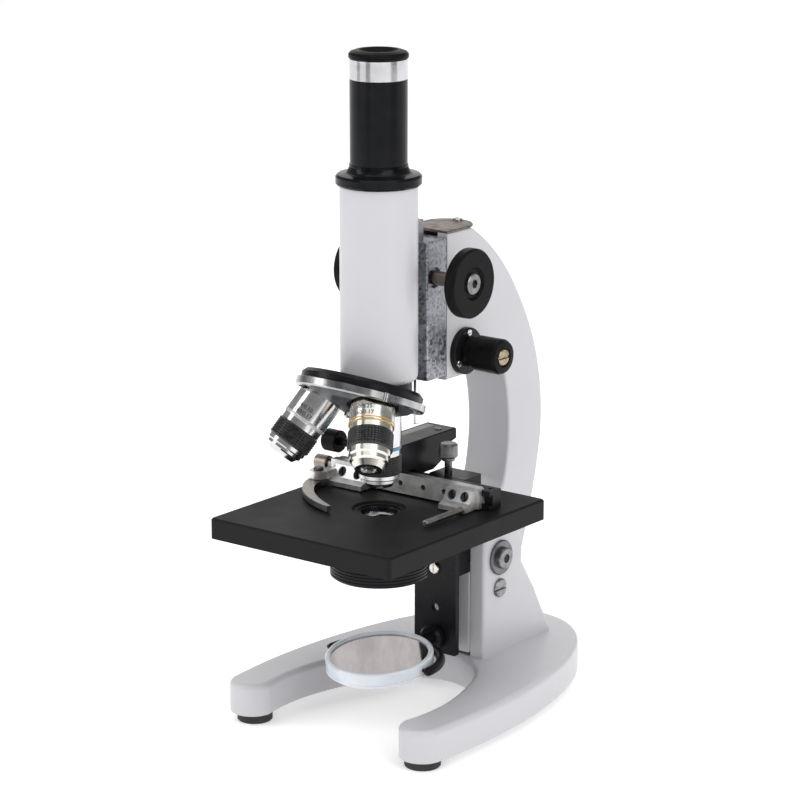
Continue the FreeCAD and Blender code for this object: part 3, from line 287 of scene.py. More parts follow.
class MicroscopeColours(bpy.types.PropertyGroup):
    """Colours of the paints, plastics and metals."""
    paint: colour("Paint", "White enamel on the castings", (0.525, 0.517, 0.542))
    black: colour("Black", "Satin black enamel", (0.006, 0.006, 0.0075))
    stage: colour("Stage", "Matte black of the stage", (0.0095, 0.0082, 0.0085))
    high_band: colour("Blue band", "Band of the strongest objective", (0.05, 0.28, 0.42))
    mid_band: colour("Gold band", "Band of the middle objective", (0.72, 0.42, 0.10))
    low_band: colour("White band", "Band of the weakest objective", (0.62, 0.63, 0.60))
    mirror_rim: colour("Mirror rim", "Pale plastic round the mirror", (0.66, 0.70, 0.755))
    floor: colour("Floor", "Pale floor", (0.86, 0.86, 0.86))


class MicroscopeObjectives(bpy.types.PropertyGroup):
    """Where the objectives stand and how their grips are cut."""
    apex: length("Apex", "Height where the objectives' axes meet the tube's axis", 206.4)
    tilt: FloatProperty(name="Tilt", description="Angle between the turret's axis and the tube's",
                        subtype="ANGLE", default=math.radians(22.5))
    seat: length("Seat", "Distance from the apex to an objective's shoulder", 44.0)
    grip_radius: length("Grip radius", "Outer radius of a knurled grip", 10.6)
    grip_height: length("Grip height", "Height of a knurled grip", 9.5)
    columns: IntProperty(name="Columns", description="Teeth round a grip", default=44, min=12, max=200)
    tiers: IntProperty(name="Rows", description="Teeth up a grip", default=7, min=1, max=40)
    tooth: length("Tooth", "Height of a knurled tooth", 0.36)
    digits: length("Digits", "Height of the engraved numbers", 2.9)


class MicroscopeHardware(bpy.types.PropertyGroup):
    """Small turned and cut parts."""
    thumb_radius: length("Thumbscrew radius", "Radius of the thumbscrew's head", 4.5)
    thumb_head: length("Thumbscrew head", "Height of the thumbscrew's knurled head", 7.4)
    thumb_teeth: IntProperty(name="Thumbscrew teeth", description="Grooves round the head", default=40,
                             min=12, max=120)
    scale_step: length("Scale step", "Distance between two lines of the stage's scale", 1.0)
    mirror_radius: length("Mirror radius", "Outer radius of the mirror's rim", 27.0)
    mirror_tilt: FloatProperty(name="Mirror tilt", description="Tilt of the mirror at rest",
                               subtype="ANGLE", default=math.radians(6.5))


# name, place on the turret, length, distance of the band and of the grip from the shoulder, in mm
OBJECTIVES = [("high", 0, 39.5, 19.0, 24.0), ("low", 2, 37.0, 16.5, 21.5), ("mid", 1, 35.5, 12.3, 17.0)]
BARREL_RADIUS = 10.9
BAND_RADIUS = 11.0
GROOVE_RADIUS = 9.42    # floor of the grooves that bands and grips sit in
NUMBER_ROWS = 4.2, 1.1  # from the band up to the foot of each row of numbers
NUMBER_TURN = math.radians(-24)
COOL_CHROME = (0.58, 0.58, 0.59), (0.76, 0.76, 0.78)
WARM_CHROME = (0.60, 0.58, 0.53), (0.77, 0.755, 0.70)
NUMBERS = {"high": ("40/0.65", "160/0.17"), "low": ("4/0.10", "160/0.17"), "mid": ("10/0.25", "160/0.17")}


def objective_axis(index):
    """Shoulder point of one objective and the direction that it points in."""
    sizes = bpy.context.scene.microscope_objectives
    down = Vector((0, -math.sin(sizes.tilt), -math.cos(sizes.tilt)))
    aim = Matrix.Rotation(math.radians(120 * index), 3, down) @ Vector((0, 0, -1))
    return Vector((0, AXIS_Y, sizes.apex)) + aim * sizes.seat, aim


# ---- finishes ------------------------------------------------------------------------------------
def white_enamel():
    """Smooth sprayed enamel with a faint orange peel."""
    paint = Vector(bpy.context.scene.microscope_colours.paint)
    material, tree, shader, where = new_finish("white_enamel", Coat_Weight=0.25, Coat_Roughness=0.18)
    broad = noise(tree, where, 18.0, 3.0)
    tree.links.new(tones(tree, broad, paint * 0.965, paint, 0.3, 0.7), shader.inputs["Base Color"])
    tree.links.new(spread(tree, noise(tree, where, 140.0), 0.34, 0.46), shader.inputs["Roughness"])
    peel = relief(tree, noise(tree, where, 420.0, 2.0), 0.012)
    tree.links.new(relief(tree, noise(tree, where, 2600.0, 1.0), 0.003, normal=peel), shader.inputs["Normal"])
    return material


def crinkle_black():
    """Matte black with a fine leathery crinkle, worn a little lighter in places."""
    base = Vector(bpy.context.scene.microscope_colours.stage)
    material, tree, shader, where = new_finish("crinkle_black", Specular_IOR_Level=0.14)
    broad = noise(tree, where, 42.0, 5.0, 0.62)
    tree.links.new(tones(tree, broad, base * 0.95, base * 1.1, 0.3, 0.72), shader.inputs["Base Color"])
    tree.links.new(spread(tree, noise(tree, where, 30.0, 2.0), 0.46, 0.54), shader.inputs["Roughness"])
    cells = add_node(tree, "ShaderNodeTexVoronoi", {"Vector": where, "Scale": 1500.0},
                     feature="SMOOTH_F1").outputs["Distance"]
    coarse = relief(tree, cells, 0.016)
    fine = relief(tree, noise(tree, where, 3800.0, 3.0), 0.012, normal=coarse)
    tree.links.new(fine, shader.inputs["Normal"])
    return material


def turned_metal(name, low, high, gloss, axis=(0, 0, 1), depth=0.004):
    """Metal with fine lathe lines round an axis."""
    material, tree, shader, where = new_finish(name, Metallic=1.0)
    turn = Vector(axis).to_track_quat("Z", "Y").to_euler()
    lie = mapped(tree, where, (1, 1, 1), turn)
    marks = lathe_lines(tree, lie, 3200.0)
    broad = noise(tree, where, 90.0, 4.0)
    tree.links.new(tones(tree, broad, low, high), shader.inputs["Base Color"])
    wander = spread(tree, broad, *gloss)
    rough = maths(tree, "ADD", wander, spread(tree, marks, -0.03, 0.05))
    tree.links.new(rough, shader.inputs["Roughness"])
    tree.links.new(relief(tree, marks, depth), shader.inputs["Normal"])
    return material


def mottled_zinc():
    """Grey cast zinc with crystal patches and a dull, scuffed sheen."""
    material, tree, shader, where = new_finish("mottled_zinc", Metallic=0.85)
    crystals = add_node(tree, "ShaderNodeTexVoronoi", {"Vector": where, "Scale": 800.0},
                        feature="F1").outputs["Color"]
    grey = add_node(tree, "ShaderNodeSeparateColor", {"Color": crystals}).outputs["Red"]
    broad = noise(tree, where, 160.0, 6.0, 0.7)
    both = add_node(tree, "ShaderNodeMix", {"Factor": 0.4, "A": grey, "B": broad}).outputs["Result"]
    tree.links.new(tones(tree, both, (0.15, 0.155, 0.175), (0.52, 0.53, 0.57), 0.2, 0.8),
                   shader.inputs["Base Color"])
    tree.links.new(spread(tree, both, 0.34, 0.56), shader.inputs["Roughness"])
    tree.links.new(relief(tree, broad, 0.05), shader.inputs["Normal"])
    return material


def bronzed_plate():
    """Brownish plated steel with rubbed patches."""
    material, tree, shader, where = new_finish("bronzed_plate", Metallic=0.8)
    rub = noise(tree, where, 230.0, 6.0, 0.7)
    tree.links.new(tones(tree, rub, (0.105, 0.078, 0.066), (0.30, 0.25, 0.225), 0.3, 0.7),
                   shader.inputs["Base Color"])
    tree.links.new(spread(tree, rub, 0.5, 0.32), shader.inputs["Roughness"])
    lie = mapped(tree, where, (1, 14, 1))
    tree.links.new(relief(tree, noise(tree, lie, 3000.0, 2.0), 0.01), shader.inputs["Normal"])
    return material


def silvered_glass():
    """Mirror with faint haze and wiped streaks."""
    material, tree, shader, where = new_finish("silvered_glass", Metallic=1.0)
    lie = mapped(tree, where, (7, 1, 1), (0, 0, math.radians(-52)))
    streaks = noise(tree, lie, 120.0, 5.0, 0.6)
    tree.links.new(tones(tree, streaks, (0.38, 0.35, 0.352), (0.52, 0.475, 0.48)),
                   shader.inputs["Base Color"])
    tree.links.new(spread(tree, streaks, 0.06, 0.16), shader.inputs["Roughness"])
    return material


def lens_glass():
    """Coated optical glass with a trace of dust."""
    material, tree, shader, where = new_finish("lens_glass", Transmission_Weight=1.0, IOR=1.52,
                                               Coat_Weight=1.0, Coat_Roughness=0.04, Coat_IOR=2.3,
                                               Coat_Tint=(0.92, 0.95, 1.0, 1.0))
    dust = noise(tree, where, 1800.0, 4.0)
    tree.links.new(tones(tree, dust, (0.93, 0.95, 0.97), (0.82, 0.85, 0.88)), shader.inputs["Base Color"])
    tree.links.new(spread(tree, dust, 0.0, 0.05, 0.4, 0.8), shader.inputs["Roughness"])
    return material


def pale_plastic():
    """Milky pale blue plastic with a gloss."""
    tint = Vector(bpy.context.scene.microscope_colours.mirror_rim)
    material, tree, shader, where = new_finish("pale_plastic", Subsurface_Weight=0.25, Coat_Weight=0.5,
                                               Coat_Roughness=0.05, IOR=1.49, Subsurface_Scale=0.002)
    cloud = noise(tree, where, 75.0, 3.0)
    tree.links.new(tones(tree, cloud, tint * 0.93, tint * 1.04), shader.inputs["Base Color"])
    tree.links.new(spread(tree, noise(tree, where, 500.0), 0.12, 0.24), shader.inputs["Roughness"])
    tree.links.new(relief(tree, noise(tree, where, 300.0, 2.0), 0.006), shader.inputs["Normal"])
    return material


# steps from one line to the next, where it starts across the strip, its width as a part of those steps
SCALE_LINES = [(1, 0.62, 0.22), (5, 0.40, 0.05), (10, 0.12, 0.028)]


def scale_strip(low, high):
    """Grey strip with a line at every step and longer lines at every fifth and tenth."""
    step = bpy.context.scene.microscope_hardware.scale_step
    material, tree, shader, where = new_finish("scale_strip", Metallic=0.35, Roughness=0.4)
    axes = add_node(tree, "ShaderNodeSeparateXYZ", {"Vector": where})
    run = maths(tree, "SUBTRACT", axes.outputs["Y"], low.y)
    across = spread(tree, axes.outputs["X"], 0.0, 1.0, low.x, high.x)
    ink = None
    for every, reach, width in SCALE_LINES:
        part = maths(tree, "FRACT", maths(tree, "DIVIDE", run, step * every))
        line = maths(tree, "LESS_THAN", part, width)
        side = maths(tree, "GREATER_THAN", across, reach)
        mark = maths(tree, "MULTIPLY", line, side)
        ink = mark if ink is None else maths(tree, "MAXIMUM", ink, mark)
    plain = tones(tree, noise(tree, where, 700.0), (0.22, 0.225, 0.23), (0.32, 0.325, 0.33))
    mixed = add_node(tree, "ShaderNodeMix", {"Factor": ink}, data_type="RGBA")
    tree.links.new(plain, mixed.inputs["A"])
    mixed.inputs["B"].default_value = (0.015, 0.015, 0.017, 1)
    tree.links.new(mixed.outputs["Result"], shader.inputs["Base Color"])
    return material


def pale_floor():
    """Plain pale floor with a barely uneven sheen."""
    tint = Vector(bpy.context.scene.microscope_colours.floor)
    return surface("pale_floor", tint * 0.99, tint, (0.75, 0.85), patch=2.0,
                   Emission_Color=(1.0, 1.0, 1.0, 1.0), Emission_Strength=0.36)


def black_paint():
    """Satin black enamel of the small castings and brackets."""
    black = Vector(bpy.context.scene.microscope_colours.black)
    return surface("black_enamel", black, black * 1.6, (0.24, 0.34), patch=80.0, grain=1400.0, depth=0.006,
                   Specular_IOR_Level=0.16)


def tube_black():
    """Anodised black of the draw tube, with fine turning lines."""
    material, tree, shader, where = new_finish("tube_black", Specular_IOR_Level=0.16)
    marks = lathe_lines(tree, where, 2600.0)
    haze = noise(tree, where, 55.0, 4.0)
    tree.links.new(tones(tree, haze, (0.002, 0.0023, 0.0035), (0.005, 0.0055, 0.0075)),
                   shader.inputs["Base Color"])
    rough = maths(tree, "ADD", spread(tree, haze, 0.14, 0.2), spread(tree, marks, -0.02, 0.04))
    tree.links.new(rough, shader.inputs["Roughness"])
    tree.links.new(relief(tree, marks, 0.004), shader.inputs["Normal"])
    return material


RECIPES = {
    "white": white_enamel,
    "crinkle": crinkle_black,
    "black": black_paint,
    "tube_black": tube_black,
    "zinc": mottled_zinc,
    "bronze": bronzed_plate,
    "silver": silvered_glass,
    "glass": lens_glass,
    "pale_plastic": pale_plastic,
    "rubber": lambda: surface("foot_rubber", (0.012, 0.012, 0.013), (0.03, 0.03, 0.032), (0.6, 0.8),
                              patch=150.0, grain=1800.0, depth=0.03),
    "nickel": lambda: surface("bright_nickel", (0.55, 0.53, 0.50), (0.74, 0.72, 0.70), (0.14, 0.28),
                              patch=350.0, grain=2600.0, depth=0.006, Metallic=1.0),
    "steel": lambda: surface("grey_steel", (0.18, 0.18, 0.185), (0.33, 0.33, 0.34), (0.26, 0.4), patch=300.0,
                             grain=2400.0, depth=0.008, Metallic=1.0),
    "dark_steel": lambda: surface("dark_steel", (0.06, 0.06, 0.065), (0.15, 0.15, 0.155), (0.3, 0.42),
                                  patch=300.0, grain=2400.0, depth=0.008, Metallic=1.0),
    "washer": lambda: turned_metal("washer_zinc", (0.11, 0.115, 0.12), (0.24, 0.245, 0.255), (0.3, 0.42),
                                   axis=(1, 0, 0)),
    "chrome": lambda: surface("chrome", (0.66, 0.66, 0.68), (0.80, 0.80, 0.82), (0.07, 0.16), patch=120.0,
                              grain=3000.0, depth=0.002, Metallic=1.0),
    "rim": lambda: surface("rim_chrome", (0.34, 0.345, 0.355), (0.52, 0.525, 0.54), (0.16, 0.28), patch=130.0,
                           grain=2800.0, depth=0.004, Metallic=1.0),
    "chrome_turned": lambda: turned_metal("chrome_turned", (0.60, 0.60, 0.62), (0.78, 0.78, 0.80),
                                          (0.10, 0.2)),
    "rail": lambda: surface("machined_rail", (0.20, 0.205, 0.215), (0.42, 0.43, 0.44), (0.28, 0.42),
                            patch=200.0, grain=2200.0, depth=0.01, stretch=(1, 1, 30), Metallic=1.0),
    "oiled_steel": lambda: turned_metal("oiled_steel", (0.20, 0.165, 0.14), (0.36, 0.31, 0.27),
                                        (0.26, 0.38), axis=(1, 0, 0)),
    "plastic": lambda: surface("black_plastic", (0.003, 0.003, 0.0035), (0.006, 0.006, 0.0065),
                               (0.34, 0.46), patch=140.0, grain=1500.0, depth=0.012,
                               Specular_IOR_Level=0.09),
    "brass": lambda: surface("pale_brass", (0.28, 0.215, 0.13), (0.46, 0.38, 0.27), (0.2, 0.36), patch=300.0,
                             grain=2600.0, depth=0.008, Metallic=1.0),
    "shell": lambda: surface("turret_grey", (0.085, 0.088, 0.096), (0.19, 0.195, 0.205), (0.3, 0.42),
                             patch=110.0, grain=1600.0, depth=0.01, Metallic=0.6),
    "holder": lambda: surface("satin_nickel", (0.66, 0.65, 0.64), (0.84, 0.83, 0.82), (0.34, 0.48),
                              patch=170.0, grain=2400.0, depth=0.012, stretch=(26, 1, 1),
                              grain_gloss=0.04, Metallic=0.95),
    "claw_steel": lambda: surface("brown_steel", (0.27, 0.25, 0.235), (0.42, 0.40, 0.38), (0.28, 0.4),
                                  patch=120.0, grain=2400.0, depth=0.01, stretch=(8, 1, 1), Metallic=1.0),
    "grip": lambda: surface("knurled_black", (0.009, 0.009, 0.0095), (0.028, 0.028, 0.029), (0.26, 0.4),
                            patch=600.0, grain=2600.0, depth=0.012),
    "ink": lambda: surface("engraving_ink", (0.012, 0.012, 0.014), (0.035, 0.035, 0.04), (0.5, 0.7),
                           patch=900.0),
    "floor": pale_floor,
}
FINISHES = {}


def finish(name):
    """A finish by name, made the first time it is asked for."""
    if name not in FINISHES:
        FINISHES[name] = RECIPES[name]()
    return FINISHES[name]


# frame parts by finish
CASTINGS = {"white": ["base_casting", "pillar", "arm_casting", "body_tube"], "rubber": ["rubber_feet"]}
FITTINGS = {
    "nickel": ["base_screws", "arm_screws", "turret_pivot"],
    "rim": ["turret_rim"],
    "steel": ["pivot_bolt", "tension_screws", "coarse_screws"],
    "dark_steel": ["clamp_screws"],
    "washer": ["pivot_washers"],
    "bronze": ["cover_plate"],
    "black": ["fine_flanges", "stage_bracket", "mirror_bar", "condenser_mount", "mirror_fork", "nose_mount",
              "cross_beam", "stage_bar", "holder_bracket", "condenser_sleeve", "iris_ring", "mirror_pivots"],
    "tube_black": ["tube_collar", "draw_tube"],
    "crinkle": ["stage_plate"],
    "glass": ["condenser_lens", "eyepiece_lenses", "objective_lenses"],
    "chrome": ["iris_lever", "stop_rod"],
    "chrome_turned": ["eyepiece_barrel"],
    "silver": ["mirror_glasses"],
    "zinc": ["focus_block"],
    "rail": ["tube_rail"],
    "oiled_steel": ["coarse_shaft", "fine_shaft", "x_knob"],
    "plastic": ["coarse_knobs", "fine_knobs", "eyepiece_cap", "y_knob"],
    "brass": ["coarse_rack", "fine_screws"],
    "shell": ["turret_shell"],
    "holder": ["holder_plate", "slide_clamps"],
    "claw_steel": ["slide_finger", "slide_claw"],
    "grip": ["objective_grips"],
    "pale_plastic": ["mirror_frame"],
}


def paint_nodes(groups):
    """Gives every frame part in the groups its finish."""
    for name, nodes in groups.items():
        for node in nodes:
            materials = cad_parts[node].data.materials
            materials.clear()
            materials.append(finish(name))


# ---- stage ---------------------------------------------------------------------------------------
# name, place and size in metres, power in watts
LIGHTS = [("key", (1.15, -0.35, 0.95), (0.9, 1.1), 6.0), ("fill", (-1.1, -1.1, 0.8), (0.6, 1.2), 6.5),
          ("top", (0.1, -0.2, 1.5), (1.4, 1.4), 6.0), ("back", (-0.9, 1.2, 0.9), (1.5, 1.3), 4.0)]
HALF_HEIGHT = 0.17      # the lights aim at the middle of the microscope
# name, angle round the microscope in degrees, half of the width
FLAGS = [("flag_left", 100, 0.55), ("flag_right", -4, 0.35), ("flag_front", -47, 0.3)]
FLAG_DISTANCE = 2.2
FLAG_HEIGHT = 1.3
SKY_LIGHT = 0.78
SKY_REFLECTED = 0.30
SKY_SEEN = 0.97
CAMERA_PLACE = (0.87794, -1.16362, 0.5323)
CAMERA_DOWN = 14.41     # degrees below the horizon
CAMERA_TURN = 37.56     # degrees to the right of straight on
CAMERA_LENS = 136.8


# ---- operators -----------------------------------------------------------------------------------
class MICROSCOPE_OT_stage(bpy.types.Operator):
    """Adds the floor, the soft lights and the camera"""
    bl_idname = "microscope.stage"
    bl_label = "Floor, Lights and Camera"

    def execute(self, context):
        bm = bmesh.new()
        bmesh.ops.create_circle(bm, cap_ends=True, radius=9.0, segments=96)
        self.add_board(context, "floor", bm, finish("floor"))
        for name, place, size, power in LIGHTS:
            self.add_light(context, name, Vector(place), size, power)
        self.add_flags(context)
        self.add_world(context)
        self.add_camera(context)
        return {"FINISHED"}

    def add_board(self, context, name, bm, material):
        mesh = bpy.data.meshes.new(name)
        bm.to_mesh(mesh)
        bm.free()
        mesh.materials.append(material)
        board = bpy.data.objects.new(name, mesh)
        context.scene.collection.objects.link(board)
        return board

    def add_light(self, context, name, place, size, power):
        data = bpy.data.lights.new(name, "AREA")
        data.shape = "RECTANGLE"
        data.size, data.size_y = size
        data.energy = power
        light = bpy.data.objects.new(name, data)
        light.location = place
        aim = Vector((0, 0, HALF_HEIGHT)) - place
        light.rotation_euler = aim.to_track_quat("-Z", "Y").to_euler()
        context.scene.collection.objects.link(light)

    def add_flags(self, context):
        """Dark boards that only reflections see, which give the bright metal its contrast."""
        material = surface("flag_black", (0.01, 0.01, 0.01), (0.02, 0.02, 0.02), (0.9, 1.0))
        for name, angle, half_width in FLAGS:
            bm = block((-half_width, -0.005, 0.0), (half_width, 0.005, FLAG_HEIGHT))
            spin = Matrix.Rotation(math.radians(angle), 4, "Z") @ Matrix.Translation((0, -FLAG_DISTANCE, 0))
            bmesh.ops.transform(bm, matrix=spin, verts=bm.verts)
            flag = self.add_board(context, name, bm, material)
            flag.visible_camera = False
            flag.visible_diffuse = False
            flag.visible_shadow = False
            flag.visible_transmission = False

    def add_world(self, context):
        """A white sky that lights, reflects and shows at three strengths."""
        world = bpy.data.worlds.new("studio")
        world.use_nodes = True
        tree = world.node_tree
        ray = tree.nodes.new("ShaderNodeLightPath")
        dimmed = add_node(tree, "ShaderNodeMapRange", {"Value": ray.outputs["Is Glossy Ray"],
                                                       "To Min": SKY_LIGHT, "To Max": SKY_REFLECTED})
        seen = add_node(tree, "ShaderNodeMapRange", {"Value": ray.outputs["Is Camera Ray"],
                                                     "To Min": dimmed.outputs["Result"],
                                                     "To Max": SKY_SEEN})
        tree.links.new(seen.outputs["Result"], tree.nodes["Background"].inputs["Strength"])
        tree.nodes["Background"].inputs["Color"].default_value = (1.0, 1.0, 1.0, 1.0)
        context.scene.world = world
        context.scene.view_settings.view_transform = "Standard"

    def add_camera(self, context):
        data = bpy.data.cameras.new("camera")
        data.lens = CAMERA_LENS
        data.sensor_width = 36.0
        data.clip_start = 0.05
        camera = bpy.data.objects.new("camera", data)
        camera.location = CAMERA_PLACE
        camera.rotation_euler = (math.radians(90 - CAMERA_DOWN), 0.0, math.radians(CAMERA_TURN))
        context.scene.collection.objects.link(camera)
        context.scene.camera = camera


class MICROSCOPE_OT_castings(bpy.types.Operator):
    """Gives the white castings their enamel and the feet their rubber"""
    bl_idname = "microscope.castings"
    bl_label = "Castings and Feet"

    def execute(self, context):
        paint_nodes(CASTINGS)
        return {"FINISHED"}


class MICROSCOPE_OT_fittings(bpy.types.Operator):
    """Gives every other frame part its finish"""
    bl_idname = "microscope.fittings"
    bl_label = "Fittings"

    def execute(self, context):
        paint_nodes(FITTINGS)
        for name, index, *_ in OBJECTIVES:
            _, aim = objective_axis(index)
            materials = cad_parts["objective_" + name].data.materials
            materials.clear()
            low, high = WARM_CHROME if name == "mid" else COOL_CHROME
            materials.append(turned_metal("objective_chrome_" + name, low, high, (0.12, 0.24), axis=aim,
                                          depth=0.006))
        return {"FINISHED"}


class MICROSCOPE_OT_grips(bpy.types.Operator):
    """Adds the three knurled grips"""
    bl_idname = "microscope.grips"
    bl_label = "Knurled Grips"

    def execute(self, context):
        sizes = context.scene.microscope_objectives
        radius = sizes.grip_radius / MM
        for name, index, _, _, grip in OBJECTIVES:
            low = grip - 0.45
            high = low + sizes.grip_height / MM
            foot, top = low + 0.5, high - 0.5
            bm = spun([(GROOVE_RADIUS, low), (radius - 0.35, low), *rows(radius, foot, top, sizes.tiers),
                       (radius - 0.35, high), (GROOVE_RADIUS, high)], sizes.columns)
            knurl(bm, radius, foot, top, 0.27, sizes.tooth / MM)
            origin, aim = objective_axis(index)
            add_piece("grip_" + name, bm, facing(origin, aim), "turret", finish("grip"),
                      ["objective_grips"])
        return {"FINISHED"}


class MICROSCOPE_OT_bands(bpy.types.Operator):
    """Adds the colour bands: one ring, or two thin ones with bright metal between"""
    bl_idname = "microscope.bands"
    bl_label = "Colour Bands"

    def ring(self, radius, low, high):
        bm = spun([(GROOVE_RADIUS, low), (radius, low), (radius, high), (GROOVE_RADIUS, high)])
        ease(bm, 0.08)
        return bm

    def execute(self, context):
        colours = context.scene.microscope_colours
        for name, index, _, band, _ in OBJECTIVES:
            tint = Vector(getattr(colours, name + "_band"))
            paint = surface("band_" + name, tint * 0.8, tint, (0.22, 0.34), patch=400.0, grain=2400.0,
                            depth=0.004, Metallic=0.45, Coat_Weight=0.4, Coat_Roughness=0.1)
            low, high = band - 0.28, band + 1.48
            origin, aim = objective_axis(index)
            if name == "mid":
                line = (high - low) * 0.3
                add_piece("band_mid_metal", self.ring(BARREL_RADIUS, low + line, high - line),
                          facing(origin, aim), "turret", finish("chrome"))
                bm = joined([(self.ring(BAND_RADIUS, low, low + line - 0.02), Matrix.Identity(4)),
                             (self.ring(BAND_RADIUS, high - line + 0.02, high), Matrix.Identity(4))])
            else:
                bm = self.ring(BAND_RADIUS, low, high)
            add_piece("band_" + name, bm, facing(origin, aim), "turret", paint,
                      ["objective_bands"])
        return {"FINISHED"}


class MICROSCOPE_OT_numbers(bpy.types.Operator):
    """Wraps each objective's power and tube length round its barrel"""
    bl_idname = "microscope.numbers"
    bl_label = "Objective Numbers"

    def execute(self, context):
        height = context.scene.microscope_objectives.digits
        for name, index, _, band, _ in OBJECTIVES:
            origin, aim = objective_axis(index)
            up = -aim
            out = (FRONT - FRONT.dot(up) * up).normalized()
            out = Matrix.Rotation(NUMBER_TURN, 3, up) @ out
            across = up.cross(out)
            whole = bmesh.new()
            for words, rise in zip(NUMBERS[name], NUMBER_ROWS):
                foot = (band - rise) * MM
                mesh = self.text_mesh(words, height)
                for vert in mesh.vertices:
                    x, y, z = vert.co
                    angle = x / (BARREL_RADIUS * MM)
                    ring = out * math.cos(angle) + across * math.sin(angle)
                    vert.co = origin + aim * (foot - y) + ring * ((BARREL_RADIUS - 0.01) * MM + z)
                whole.from_mesh(mesh)
                bpy.data.meshes.remove(mesh)
            add_piece("numbers_" + name, whole, Matrix.Identity(4), "turret", finish("ink"))
        return {"FINISHED"}

    def text_mesh(self, words, height):
        curve = bpy.data.curves.new("digits", "FONT")
        curve.body = words
        curve.size = height
        curve.extrude = 0.03 * MM
        curve.offset = 0.05 * MM
        curve.resolution_u = 3
        curve.align_x = "CENTER"
        text = bpy.data.objects.new("digits", curve)
        mesh = bpy.data.meshes.new_from_object(text)
        bpy.data.objects.remove(text)
        bpy.data.curves.remove(curve)
        return mesh


class MICROSCOPE_OT_thumbscrew(bpy.types.Operator):
    """Adds the thumbscrew with its straight knurled head"""
    bl_idname = "microscope.thumbscrew"
    bl_label = "Thumbscrew"

    def execute(self, context):
        sizes = context.scene.microscope_hardware
        low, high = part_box("thumbscrew")
        top = (high.z - low.z) / MM
        head = top - sizes.thumb_head / MM
        radius = sizes.thumb_radius / MM
        outline = [(0, 0), (1.7, 0), (1.95, 0.4), (1.95, head - 1.6), (3.2, head - 1.6), (3.4, head - 1.3),
                   (3.4, head), (radius - 0.5, head), *rows(radius, head + 0.5, top - 0.9, 1),
                   (radius - 0.7, top - 0.15), (radius - 1.3, top), (0, top)]
        bm = spun(outline, sizes.thumb_teeth)
        knurl(bm, radius, head + 0.5, top - 0.9, 0.16, 0.2)
        middle_xy = Vector(((low.x + high.x) / 2, (low.y + high.y) / 2, low.z))
        add_piece("thumbscrew_knurled", bm, facing(middle_xy, (0, 0, 1)), "thumbscrew",
                  finish("steel"), ["thumbscrew"])
        return {"FINISHED"}


class MICROSCOPE_OT_mirror(bpy.types.Operator):
    """Adds the pale rim of the mirror"""
    bl_idname = "microscope.mirror"
    bl_label = "Mirror Rim"

    def execute(self, context):
        sizes = context.scene.microscope_hardware
        radius = sizes.mirror_radius / MM
        inner = radius - 2.58
        outline = [(inner, -4.0), (radius - 0.9, -4.0), (radius, -3.2), (radius, -2.6), (radius - 0.25, -2.4),
                   (radius - 0.25, -2.1), (radius, -1.9), (radius, 3.2), (radius - 0.6, 3.9),
                   (radius - 1.4, 4.0), (inner, 3.3)]
        bm = spun(outline, 128)
        ease(bm, 0.3, 3, math.radians(20))
        tilt = sizes.mirror_tilt
        axis = (0, -math.sin(tilt), math.cos(tilt))
        pivot = middle("mirror_pivots")
        add_piece("mirror_rim", bm, facing(pivot, axis), "mirror", finish("pale_plastic"),
                  ["mirror_frame"])
        return {"FINISHED"}


class MICROSCOPE_OT_guide_scale(bpy.types.Operator):
    """Adds the ruled strip and the two small screws on the stage's guide bar"""
    bl_idname = "microscope.guide_scale"
    bl_label = "Guide Scale"

    def execute(self, context):
        low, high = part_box("stage_bar")
        corner = Vector((low.x + 1.05 * MM, low.y + 2.05 * MM, high.z - 0.38 * MM))
        far = Vector((low.x + 6.45 * MM, high.y - 2.05 * MM, high.z - 0.1 * MM))
        bm = block(corner, far)
        ease(bm, 0.06)
        add_piece("guide_scale", bm, Matrix.Identity(4), "arm", scale_strip(corner, far))
        heads = []
        for y in (6, 40):
            place = Vector((high.x - 5.5 * MM, low.y + y * MM, high.z - 0.6 * MM))
            heads.append((slotted_head(2.0, 1.1, 0.5), Matrix.Translation(place)))
        add_piece("guide_screws", joined(heads), Matrix.Identity(4), "arm", finish("steel"))
        return {"FINISHED"}


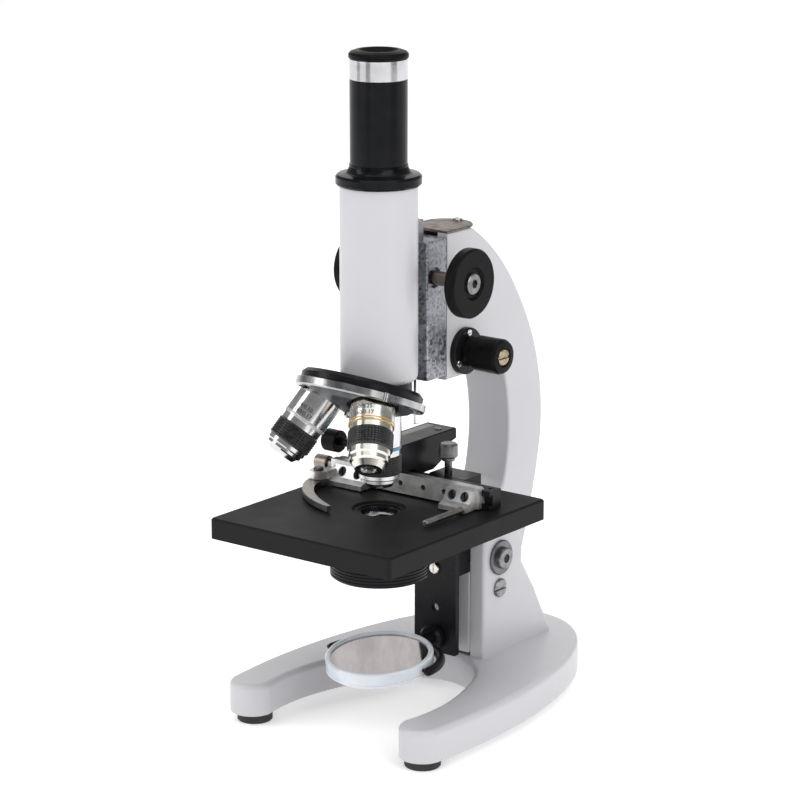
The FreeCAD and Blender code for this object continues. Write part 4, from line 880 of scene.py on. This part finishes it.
class MICROSCOPE_OT_condenser(bpy.types.Operator):
    """Adds the small set screw in the condenser's sleeve"""
    bl_idname = "microscope.condenser"
    bl_label = "Condenser Set Screw"

    def execute(self, context):
        low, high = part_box("condenser_sleeve")
        centre = Vector((0, AXIS_Y, (low.z + high.z) / 2))
        radius = (high.x - low.x) / 2
        angle = math.radians(-118)
        out = Vector((math.cos(angle), math.sin(angle), 0))
        seat = centre + out * (radius - 0.25 * MM)
        add_piece("condenser_screw", slotted_head(1.7, 1.0, 0.45), facing(seat, out), "arm",
                  finish("steel"))
        return {"FINISHED"}


OPERATORS = (MICROSCOPE_OT_stage, MICROSCOPE_OT_castings, MICROSCOPE_OT_fittings, MICROSCOPE_OT_grips,
             MICROSCOPE_OT_bands, MICROSCOPE_OT_numbers, MICROSCOPE_OT_thumbscrew, MICROSCOPE_OT_mirror,
             MICROSCOPE_OT_guide_scale, MICROSCOPE_OT_condenser)


class MICROSCOPE_PT_panel(bpy.types.Panel):
    """Lists the microscope's pieces and their settings"""
    bl_idname = "MICROSCOPE_PT_panel"
    bl_label = "Microscope"
    bl_space_type = "VIEW_3D"
    bl_region_type = "UI"
    bl_category = "Microscope"

    def draw(self, context):
        layout = self.layout
        for operator in OPERATORS:
            layout.operator(operator.bl_idname)
        for group in ("microscope_colours", "microscope_objectives", "microscope_hardware"):
            settings = getattr(context.scene, group)
            column = layout.column(align=True)
            for key in settings.__annotations__:
                column.prop(settings, key)


CLASSES = (MicroscopeColours, MicroscopeObjectives, MicroscopeHardware, *OPERATORS, MICROSCOPE_PT_panel)


def register():
    for cls in CLASSES:
        bpy.utils.register_class(cls)
    bpy.types.Scene.microscope_colours = PointerProperty(type=MicroscopeColours)
    bpy.types.Scene.microscope_objectives = PointerProperty(type=MicroscopeObjectives)
    bpy.types.Scene.microscope_hardware = PointerProperty(type=MicroscopeHardware)


def unregister():
    del bpy.types.Scene.microscope_hardware
    del bpy.types.Scene.microscope_objectives
    del bpy.types.Scene.microscope_colours
    for cls in reversed(CLASSES):
        bpy.utils.unregister_class(cls)


def main():
    register()
    for operator in OPERATORS:
        group, name = operator.bl_idname.split(".")
        getattr(getattr(bpy.ops, group), name)()


if __name__ == "__main__":
    main()
